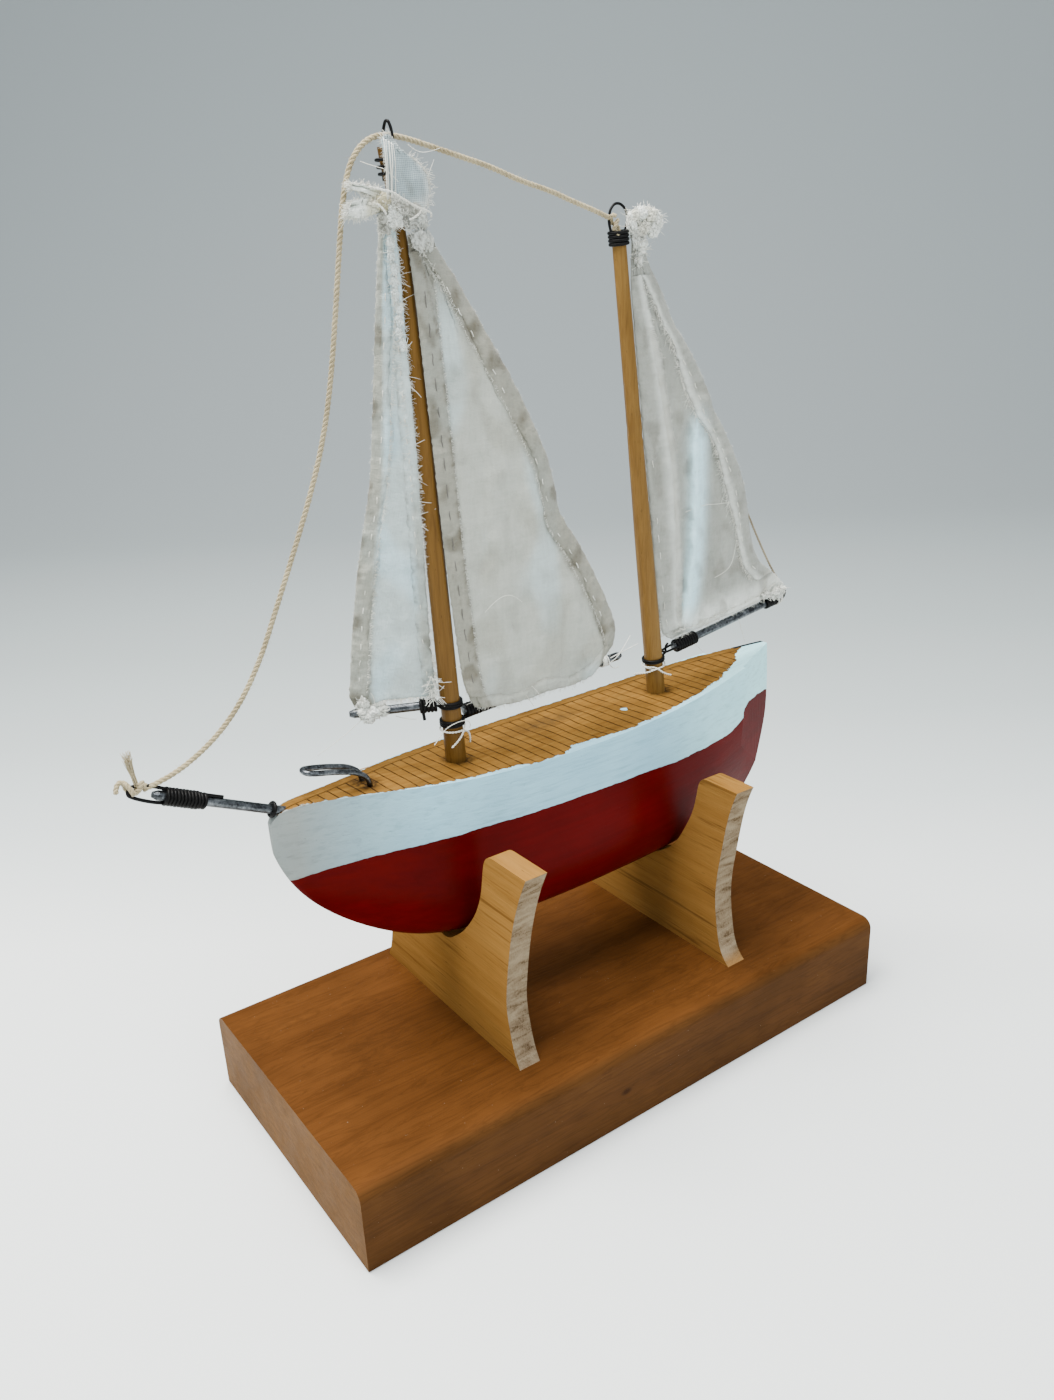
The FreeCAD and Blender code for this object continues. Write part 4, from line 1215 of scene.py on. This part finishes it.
def make_jib():
    rng = random.Random(5)
    luff = [(32.6, 2.6), (33.8, 7.0), (33.0, 11.0), (30.3, 26.8), (26.1, 47.1), (22.8, 60.2), (17.9, 79.1),
            (14.0, 103.5), (9.6, 132.4), (7.0, 148.0), (6.4, 155.0)]
    leech = [(4.9, 3.0), (4.4, 9.2), (4.6, 23.7), (4.1, 37.8), (3.2, 64.7), (2.6, 80.8), (2.2, 102.5),
             (2.0, 123.2), (1.6, 143.0), (1.8, 150.0), (1.7, 155.0)]
    foot = [(32.6, 2.6), (27.6, 1.9), (23.8, 3.3), (17.0, 3.4), (10.2, 3.2), (4.9, 3.0)]
    head = [(6.4, 155.0), (4.2, 155.4), (1.7, 155.0)]
    panel = Panel(JIB, "jib_boom", 0.0, (luff, leech, foot, head), 36, 136, 6.0, 0.42, jib_tone, jib_bulge)
    sail = panel.sheet("jib_sail_cloth")
    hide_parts("jib_sail")

    def outer_width(v):
        return 6.2 + 0.9 * math.sin(v * 25.0) - 3.6 * smooth(0.6, 1.0, v)

    def inner_width(v):
        return 4.4 - 2.4 * smooth(0.6, 1.0, v)

    hems = [panel.strip("jib_outer_hem", "luff", outer_width, 0.45, 0.02, 0.97),
            panel.strip("jib_inner_hem", "leech", inner_width, 0.4, 0.02, 0.97)]
    pale = Strands()
    stitches(pale, panel, "luff", 3.0, 0.06, 0.9, 2.2, 4.0, 1.0, 0.17, 0.2, rng)
    stitches(pale, panel, "leech", 2.6, 0.05, 0.85, 1.8, 4.4, 0.95, 0.15, 0.2, rng)
    loose = Strands()
    fringe(loose, panel, rng, [("leech", 0.02, 0.99, 620, 1.6, 0.3, 0.06),
                               ("leech", 0.45, 0.99, 260, 2.4, 0.6, 0.075, 2.0),
                               ("leech", 0.04, 0.95, 34, 4.6, 0.8, 0.10, 0.0, 0.25),
                               ("leech", 0.0, 0.1, 70, 3.2, 0.6, 0.075),
                               ("luff", 0.02, 0.98, 320, 0.9, 0.0, 0.05),
                               ("luff", 0.03, 0.96, 460, 1.5, 0.75, 0.06, 6.0),
                               ("foot", 0.0, 1.0, 260, 1.6, 0.3, 0.07)])
    ends = loose.piece("jib_fray", "jib_boom")
    # tuft of thread at the corner by the mast
    tuft = Strands()
    for _ in range(60):
        start = Vector((5.0 + rng.uniform(-1.0, 2.2), 2.4 + rng.uniform(-0.6, 0.8),
                        4.0 + rng.uniform(-1.5, 7.5)))
        way = Vector((rng.uniform(-1.0, 0.9), rng.uniform(0.1, 0.9), rng.uniform(-0.9, 0.7))).normalized()
        bend = Vector((rng.uniform(-1, 1), rng.uniform(-0.3, 0.6), rng.uniform(-1, 1))) * 0.8
        line = arc(start, way, bend, rng.uniform(1.2, 4.2), (0, 0.3, 0.6, 1.0))
        tuft.add(in_frame(JIB, line), 0.13, 5, taper=0.4)
    knots = tuft.piece("jib_tack_knot", "jib_boom")

    # cloth gathered round the boom near its outer end, and small ruffles beside the mast
    wraps = Wads(JIB, rng)
    cream = WHITE.lerp(WARM, 0.25)
    for centre, size, tone, fibres, length in (((23.4, 0.3, 0.2), (3.0, 2.2, 2.1), cream, 24, 1.4),
                                               ((26.8, 0.4, 0.4), (3.2, 2.6, 2.7), WHITE, 30, 1.5),
                                               ((29.6, 0.3, 0.2), (2.4, 2.5, 2.6), cream, 30, 1.6),
                                               ((28.2, 1.6, -1.6), (2.2, 1.6, 1.9), WHITE, 24, 1.4),
                                               ((29.4, 0.6, 3.4), (2.4, 1.5, 2.6), cream, 26, 1.4)):
        wraps.add(centre, size, tone, fibres, length)
    for k in range(9):
        centre = (3.4 + 0.4 * math.sin(2.1 * k), 3.5 + 0.2 * math.cos(3.0 * k), 147.6 - 3.6 * k)
        # the small ruffles beside the mast carry 30 per cent of the pale blue painted highlight
        wraps.add(centre, (1.1, 0.6, 1.9), WHITE.lerp(BLUE_HIGHLIGHT, 0.3), 14, 1.5)
    lay_threads(pale, JIB, [[(31.0, 1.5, -2.2), (35.0, 2.5, -5.0), (41.0, 3.0, -9.0), (47.0, 3.0, -12.5)],
                            [(19.0, 0.5, -2.4), (15.0, 1.0, -4.2), (12.0, 1.5, -4.0)],
                            [(26.0, 1.5, 2.2), (25.0, 2.5, 5.5), (26.4, 2.8, 8.0)]], 0.13, 5, 0.3)
    loops = pale.piece("jib_loose_threads", "jib_boom")
    hems + [ends, knots, loops] + wraps.pieces("jib_gathers", "jib_boom")


make_jib()


def mizzen_bulge(u, v, out, up):
    gap = out - lerp_table(MIZZEN_FOLD, up)
    lit = 1.0 - smooth(74.0, 96.0, up)
    fold = -2.6 * math.exp(-(gap / 3.8) ** 2) * lit
    hollow = 1.3 * math.exp(-((gap - 7.0) / 4.0) ** 2) * lit + 0.8 * math.exp(-((gap + 5.5)
                                                                                / 2.4) ** 2) * lit
    crumple = 0.7 * wobble(out * 0.12, up * 0.07, 21.0) + 0.8 * wobble(out * 0.22, up * 0.16, 3.0)
    return fold + hollow + crumple - 0.8 * math.sin(math.pi * u)


def make_mizzen_sail():
    rng = random.Random(23)
    luff = [(9.6, 3.2), (6.0, 6.4), (4.6, 14.0), (4.3, 30.0), (4.2, 59.7), (3.8, 96.1), (3.6, 130.4),
            (4.4, 142.0), (5.2, 148.0), (5.6, 153.4)]
    leech = [(74.0, 6.4), (66.0, 14.8), (60.4, 19.9), (56.8, 26.9), (55.4, 34.4), (54.4, 44.5),
             (52.6, 55.8), (48.1, 68.4), (42.1, 81.0), (38.8, 86.4), (36.7, 93.4), (29.0, 109.2),
             (21.9, 120.4), (16.7, 132.7), (12.1, 141.6), (10.6, 146.4), (10.8, 149.6), (11.0, 153.4)]
    foot = [(9.6, 3.2), (25.5, 3.1), (48.0, 3.3), (60.0, 4.0), (68.0, 6.0), (74.0, 6.4)]
    head = [(5.6, 153.4), (8.2, 154.0), (11.0, 153.4)]
    panel = Panel(MIZZEN, "mizzen_boom", 0.0, (luff, leech, foot, head), 60, 144, 9.0, 0.42, mizzen_tone,
                  mizzen_bulge)
    sail = panel.sheet("mizzen_sail_cloth")
    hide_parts("mizzen_sail")

    def inner_width(v):
        return lerp_table(MIZZEN_HEM, v)

    def outer_width(v):
        return 8.4 + 1.2 * math.sin(v * 23.0) - 4.0 * smooth(0.6, 0.9, v)

    hems = [panel.strip("mizzen_luff_hem", "luff", inner_width, -0.45, 0.03, 0.90, layers=10),
            panel.strip("mizzen_leech_hem", "leech", outer_width, -0.5, 0.06, 0.90, layers=9)]
    pale = Strands()
    stitches(pale, panel, "luff", 3.4, 0.05, 0.55, 3.0, 4.0, -1.0, 0.17, 0.25, rng)
    stitches(pale, panel, "leech", 4.6, 0.1, 0.8, 2.4, 2.2, -1.1, 0.18, 0.2, rng)
    # close pleats along the luff hem
    ribs = Strands()
    count = 170
    for k in range(count):
        share = 0.06 + 0.72 * k / count
        line = []
        for t in (0, 0.33, 0.66, 1.0):
            u, v = panel.inside("luff", share, inner_width(share) - 3.0 + 3.0 * t)
            line.append(panel.at(u, v + 0.002 * t, -0.72 - 0.1 * math.sin(math.pi * t)))
        ribs.add(line, 0.12, 5, taper=0.3)
    pleats = ribs.piece("mizzen_luff_pleats", "mizzen_boom")
    loose = Strands()
    fringe(loose, panel, rng, [("leech", 0.08, 0.88, 560, 1.9, -0.8, 0.065, outer_width),
                               ("leech", 0.25, 0.80, 90, 3.4, -1.0, 0.085, outer_width, 0.9),
                               ("leech", 0.02, 0.9, 360, 0.9, 0.0, 0.05),
                               ("luff", 0.05, 0.90, 300, 1.0, -0.8, 0.055, inner_width),
                               ("foot", 0.02, 0.98, 420, 1.5, -0.2, 0.07),
                               ("foot", 0.05, 0.95, 260, 2.4, -0.6, 0.07, 2.5, 0.9),
                               ("luff", 0.02, 0.08, 60, 2.2, -0.4, 0.07)])
    lay_threads(pale, MIZZEN, [[(20.0, -2.0, 52.0), (28.0, -3.0, 53.0), (36.0, -3.0, 51.0),
                                (43.0, -2.4, 50.0)], [(33.0, -2.0, 22.0), (39.0, -3.2, 23.0),
                                                      (43.0, -3.2, 28.0), (45.4, -2.4, 34.0)],
                               [(45.0, -2.0, 0.5), (46.0, -2.2, -5.0), (47.5, -2.2, -10.0)],
                               [(20.0, -2.5, -2.0), (22.0, -3.0, -4.5), (23.5, -3.0, -6.5)]], 0.1)
    # cord wound round the boom's outer end and the sail's corner
    for k in range(4, 7):
        line = []
        for t in shares(24):
            a = 2 * math.pi * t
            line.append((63.0 + 1.1 * k + 0.4 * math.sin(a + k), 3.0 * math.cos(a),
                         1.5 + 0.12 * k + 2.9 * math.sin(a)))
        loose.add(in_frame(MIZZEN, line), 0.24, 6)
    ends = loose.piece("mizzen_fray", "mizzen_boom")
    loops = pale.piece("mizzen_loose_threads", "mizzen_boom")

    # gathered corners: the head is a frayed bunch, the outer corner a smaller one
    wads = Wads(MIZZEN, rng)
    yellow = WHITE.lerp(Vector((0.50, 0.45, 0.30)), 0.45)
    grey = GREY.lerp(WHITE, 0.6)
    for centre, size, tone in (((4.4, -1.8, 155.2), (1.9, 1.5, 3.4), WHITE),
                               ((6.0, -1.6, 157.4), (2.4, 1.7, 2.0), yellow),
                               ((9.4, -1.6, 157.6), (2.6, 1.8, 2.2), WHITE),
                               ((12.8, -1.8, 156.6), (3.0, 1.8, 2.6), yellow),
                               ((16.0, -1.4, 154.8), (2.2, 1.6, 3.0), WHITE),
                               ((9.4, -1.8, 153.4), (3.0, 1.8, 2.6), yellow),
                               ((13.4, -1.8, 152.2), (2.6, 1.6, 2.2), WHITE),
                               ((6.4, -1.4, 150.6), (2.2, 1.4, 3.2), grey),
                               ((8.6, -1.4, 147.6), (2.2, 1.3, 3.0), WHITE),
                               ((7.0, -1.2, 143.8), (1.8, 1.1, 2.6), grey)):
        wads.add(centre, size, tone, 46, 2.1, (0.1, 0.0, 0.25))
    for centre, size in (((66.4, -2.2, 5.0), (3.0, 1.6, 2.2)), ((70.0, -1.8, 5.4), (2.6, 1.4, 1.8)),
                         ((61.4, -1.8, 5.6), (2.8, 1.2, 1.6))):
        wads.add(centre, size, WHITE.lerp(WARM, 0.3), 34, 1.9)
    hems + [pleats, ends, loops] + wads.pieces("mizzen_gathers", "mizzen_boom")


make_mizzen_sail()


# --- sail heads gathered and tied at the main masthead

def flap_bulge(u, v, out, up):
    folds = 0.5 * math.sin(out * 0.75 + 0.2 * up) + 0.7 * wobble(out * 0.25, up * 0.2, 8.0)
    return -5.3 + folds + 1.2 * smooth(0.8, 1.0, v)


def tuft_bulge(u, v, out, up):
    return -4.6 + 1.0 * math.sin(u * 10.0 + 1.0) * v + 0.8 * wobble(out * 0.4, up * 0.4, 2.0)


def make_head_flap(rng):
    luff = [(-3.2, 158.5), (-5.0, 163.0), (-5.5, 168.0), (-5.6, 172.5), (-6.4, 178.0)]
    leech = [(5.2, 158.5), (7.2, 162.4), (7.6, 166.9), (6.6, 169.6), (3.2, 173.0), (-0.6, 175.8),
             (-2.4, 178.2)]
    foot = [(-3.2, 158.5), (1.0, 158.0), (5.2, 158.5)]
    head = [(-6.4, 178.0), (-4.4, 179.4), (-2.4, 178.2)]
    panel = Panel(MAIN, "boat", -5.0, (luff, leech, foot, head), 26, 44, 14.0, 0.35, flap_tone, flap_bulge)
    flap = panel.sheet("main_sail_head_flap", 0.4, OPEN_CLOTH)
    loose = Strands()
    fringe(loose, panel, rng, [("leech", 0.10, 0.75, 150, 2.4, 0.0, 0.10),
                               ("head", 0.0, 1.0, 60, 1.6, 0.0, 0.07),
                               ("luff", 0.1, 1.0, 120, 1.3, 0.0, 0.06)])
    lay_threads(loose, MAIN, [[(1.5, -6.2, 176.6), (3.6, -6.2, 174.8), (8.0, -5.6, 174.2),
                               (12.5, -5.4, 175.4)], [(7.0, -5.6, 167.6), (8.2, -6.0, 169.6),
                                                      (9.8, -6.0, 172.4)],
                              [(-13.4, -4.6, 172.8), (-9.6, -6.0, 171.2), (-6.4, -7.0, 170.4),
                               (-3.4, -7.2, 167.0)]], 0.11, 5, 0.4)
    # long threads that run down in front of the masthead
    for k, (top, low, radius) in enumerate(((-6.6, -7.4, 0.16), (-5.9, -6.9, 0.13), (-5.0, -5.9, 0.17),
                                            (-4.3, -5.8, 0.16), (-3.8, -4.6, 0.10))):
        line = [(top + 0.6, -6.0, 178.4 - 0.4 * k), (top - 0.3 * math.sin(k), -7.2, 173.0),
                (low + 0.4, -7.2, 168.0), (low, -6.6, 161.5)]
        lay_threads(loose, MAIN, [line], radius, 6)
    return flap, loose.piece("masthead_threads", "boat")


def make_head_tongues(rng):
    """Two frayed tongues of cloth pulled through the tie."""
    ends = Strands()
    tongues = []
    for name, *edges in (("jib_head_tuft", [(-9.6, 159.4), (-15.0, 158.4), (-19.6, 158.6)],
                          [(-9.4, 163.2), (-14.0, 163.4), (-17.4, 162.8)], [(-9.6, 159.4), (-9.4, 163.2)],
                          [(-19.6, 158.6), (-18.9, 160.8), (-17.4, 162.8)]),
                         ("jib_head_tongue", [(-8.4, 161.8), (-12.4, 164.2), (-16.6, 165.8)],
                          [(-6.2, 164.6), (-11.4, 166.4), (-16.8, 167.4)], [(-8.4, 161.8), (-6.2, 164.6)],
                          [(-16.6, 165.8), (-17.2, 166.6), (-16.8, 167.4)])):
        seed = 17.0 + len(tongues)
        fan = Panel(MAIN, "boat", -4.6, edges, 18, 26, seed, 0.5, tuft_tone, tuft_bulge)
        tongues.append(fan.sheet(name, 0.4))
        fringe(ends, fan, rng, [("head", 0.0, 1.0, 130, 2.4, 0.0, 0.11, 0.0, 0.3),
                                ("luff", 0.2, 1.0, 70, 1.6, 0.0, 0.08),
                                ("leech", 0.2, 1.0, 70, 1.8, 0.0, 0.08)])
    for line in ([(-13.0, -7.0, 166.2), (-9.6, -8.0, 165.2), (-6.6, -8.6, 164.6), (-3.0, -9.0, 162.2),
                  (1.0, -8.6, 160.2), (4.6, -7.4, 159.2), (7.4, -6.4, 158.2), (6.8, -6.2, 157.2)],
                 [(-11.0, -7.0, 161.8), (-9.4, -7.6, 160.6), (-8.6, -7.4, 158.8)],
                 [(3.6, -7.2, 159.8), (2.4, -7.4, 157.8), (-1.0, -7.2, 157.0)]):
        lay_twine(ends, nurbs_path(in_frame(MAIN, line)), 0.66, 2, 2.0, 0.3)
    return tongues, ends.piece("jib_head_fray", "boat")


def make_head_bunch(rng):
    """The bunched cloth of both heads."""
    bunch = Wads(MAIN, rng)
    yellow = Vector((0.47, 0.43, 0.28))
    beige = GREY.lerp(WARM, 0.4).lerp(WHITE, 0.25)
    pale = GREY.lerp(WHITE, 0.3)
    for centre, size, tone in (((-10.4, -4.2, 161.6), (2.6, 1.8, 2.3), yellow.lerp(WHITE, 0.4)),
                               ((-7.6, -5.2, 161.8), (2.6, 1.8, 2.6), yellow),
                               ((-4.6, -5.6, 161.4), (2.6, 1.7, 2.6), beige),
                               ((-1.6, -5.6, 160.2), (2.8, 1.7, 2.4), beige),
                               ((1.6, -5.4, 159.0), (2.8, 1.7, 2.3), beige),
                               ((4.2, -4.8, 157.8), (2.2, 1.5, 2.2), WHITE.lerp(GREY, 0.3)),
                               ((-7.6, -5.0, 157.8), (2.3, 1.6, 2.4), beige),
                               ((-5.2, -5.6, 157.4), (2.1, 1.4, 2.4), WHITE),
                               ((-2.6, -5.4, 157.0), (1.9, 1.4, 1.8), GREY),
                               ((-7.6, -4.6, 155.4), (1.9, 1.4, 1.9), beige),
                               ((4.6, -4.4, 155.8), (2.0, 1.3, 1.9), pale),
                               ((0.6, -5.0, 156.2), (2.4, 1.5, 2.2), pale)):
        bunch.add(centre, size, tone, 30, 1.6)
    for _ in range(26):
        centre = (-5.6 + rng.uniform(-2.2, 2.2), -6.4, 159.0 + rng.uniform(-3.6, 2.6))
        bunch.add(centre, (0.7, 0.6, 0.75), WHITE, 3, 1.8)
    return bunch.pieces("masthead_bunch", "boat")


def make_head_tie():
    """Turns of soft thread round mast and cloth, with a thin loop that hangs down in front of the mast."""
    tie = Strands()
    axis = boom_frame(*MAIN_MAST, 150.0, MAIN_RAKE, 0.0)
    line = []
    for t in shares(160):
        a = 2 * math.pi * 4.0 * t
        r = 4.1 + 0.4 * wobble(t * 17.0, 3.0)
        h = 156.0 + 5.0 * t + 0.9 * wobble(t * 13.0, 8.0)
        line.append(axis @ Vector((1.6 + r * math.cos(a), r * math.sin(a) * 1.05, h)))
    lay_twine(tie, line, 0.8, 2, 2.8, 0.35)
    loop = [(0.6, 4.6, 156.0), (-0.4, 5.0, 152.0), (-1.8, 5.0, 150.6), (-3.0, 4.8, 152.4),
            (-2.6, 4.6, 155.6)]
    lay_threads(tie, axis, [loop], 0.13)
    return tie.piece("masthead_tie", "boat")


def make_masthead():
    rng = random.Random(31)
    flap, threads = make_head_flap(rng)
    tongues, tuft_ends = make_head_tongues(rng)
    gathers = make_head_bunch(rng)
    tie = make_head_tie()
    [tongues[1], tuft_ends, tie] + gathers


make_masthead()


# --- stage and light

def make_stage():
    """A floor that curves up into a wall behind the boat, square to the camera's direction."""
    back = Vector((-0.572, -0.820, 0.0))
    side = Vector((0.820, -0.572, 0.0))
    bend_at, radius, half_width = 0.9, 0.7, 3.5
    profile = [(-3.0, 0.0), (-1.0, 0.0), (0.0, 0.0), (bend_at, 0.0)]
    for t in shares(16)[1:]:
        a = math.pi / 2 * t
        profile.append((bend_at + radius * math.sin(a), radius - radius * math.cos(a)))
    profile += [(1.6, 1.6), (1.6, 3.2)]
    verts = [(back * reach + side * across + Vector((0, 0, height))) / MM
             for reach, height in profile for across in (-half_width, half_width)]
    look = Look("pale_backdrop", Roughness=0.9, Specular_IOR_Level=0.1)
    x, y, _ = look.axes()
    depth = x * back.x + y * back.y
    # painted shade: the backdrop's colour darkens from the front of the floor back and up the wall, standing
    # in for the fall-off of light
    shade = look.ramp(depth * 0.8, [(0.06, (0.84, 0.87, 0.86)), (0.16, (0.62, 0.67, 0.67)),
                                    (0.26, (0.5, 0.55, 0.55)), (0.4, (0.44, 0.49, 0.49)),
                                    (0.9, (0.4, 0.44, 0.45))])
    material = look.done(shade, look.bump(look.noise(40.0), 0.4, 0.1))
    floor = finish_mesh("floor", verts, grid_faces(1, len(profile) - 1), material, None)


def area_light(name, location, target, size, energy, colour):
    data = bpy.data.lights.new(name, "AREA")
    data.size = size
    data.energy = energy
    data.color = colour
    lamp = show(name, data)
    lamp.location = location
    lamp.rotation_euler = (Vector(target) - Vector(location)).to_track_quat("-Z", "Y").to_euler()


def make_light():
    world = bpy.data.worlds.new("studio")
    bpy.context.scene.world = world
    world.use_nodes = True
    sky = world.node_tree.nodes["Background"]
    sky.inputs["Color"].default_value = (0.90, 0.96, 1.0, 1.0)
    sky.inputs["Strength"].default_value = 0.80
    area_light("overhead", (0.22, -0.10, 0.98), (0.02, -0.02, 0.10), 0.62, 29.0, (1.0, 0.985, 0.95))
    area_light("front", (-0.10, 0.95, 0.95), (0, 0, 0.18), 0.7, 9.0, (0.93, 0.97, 1.0))


make_stage()
make_light()
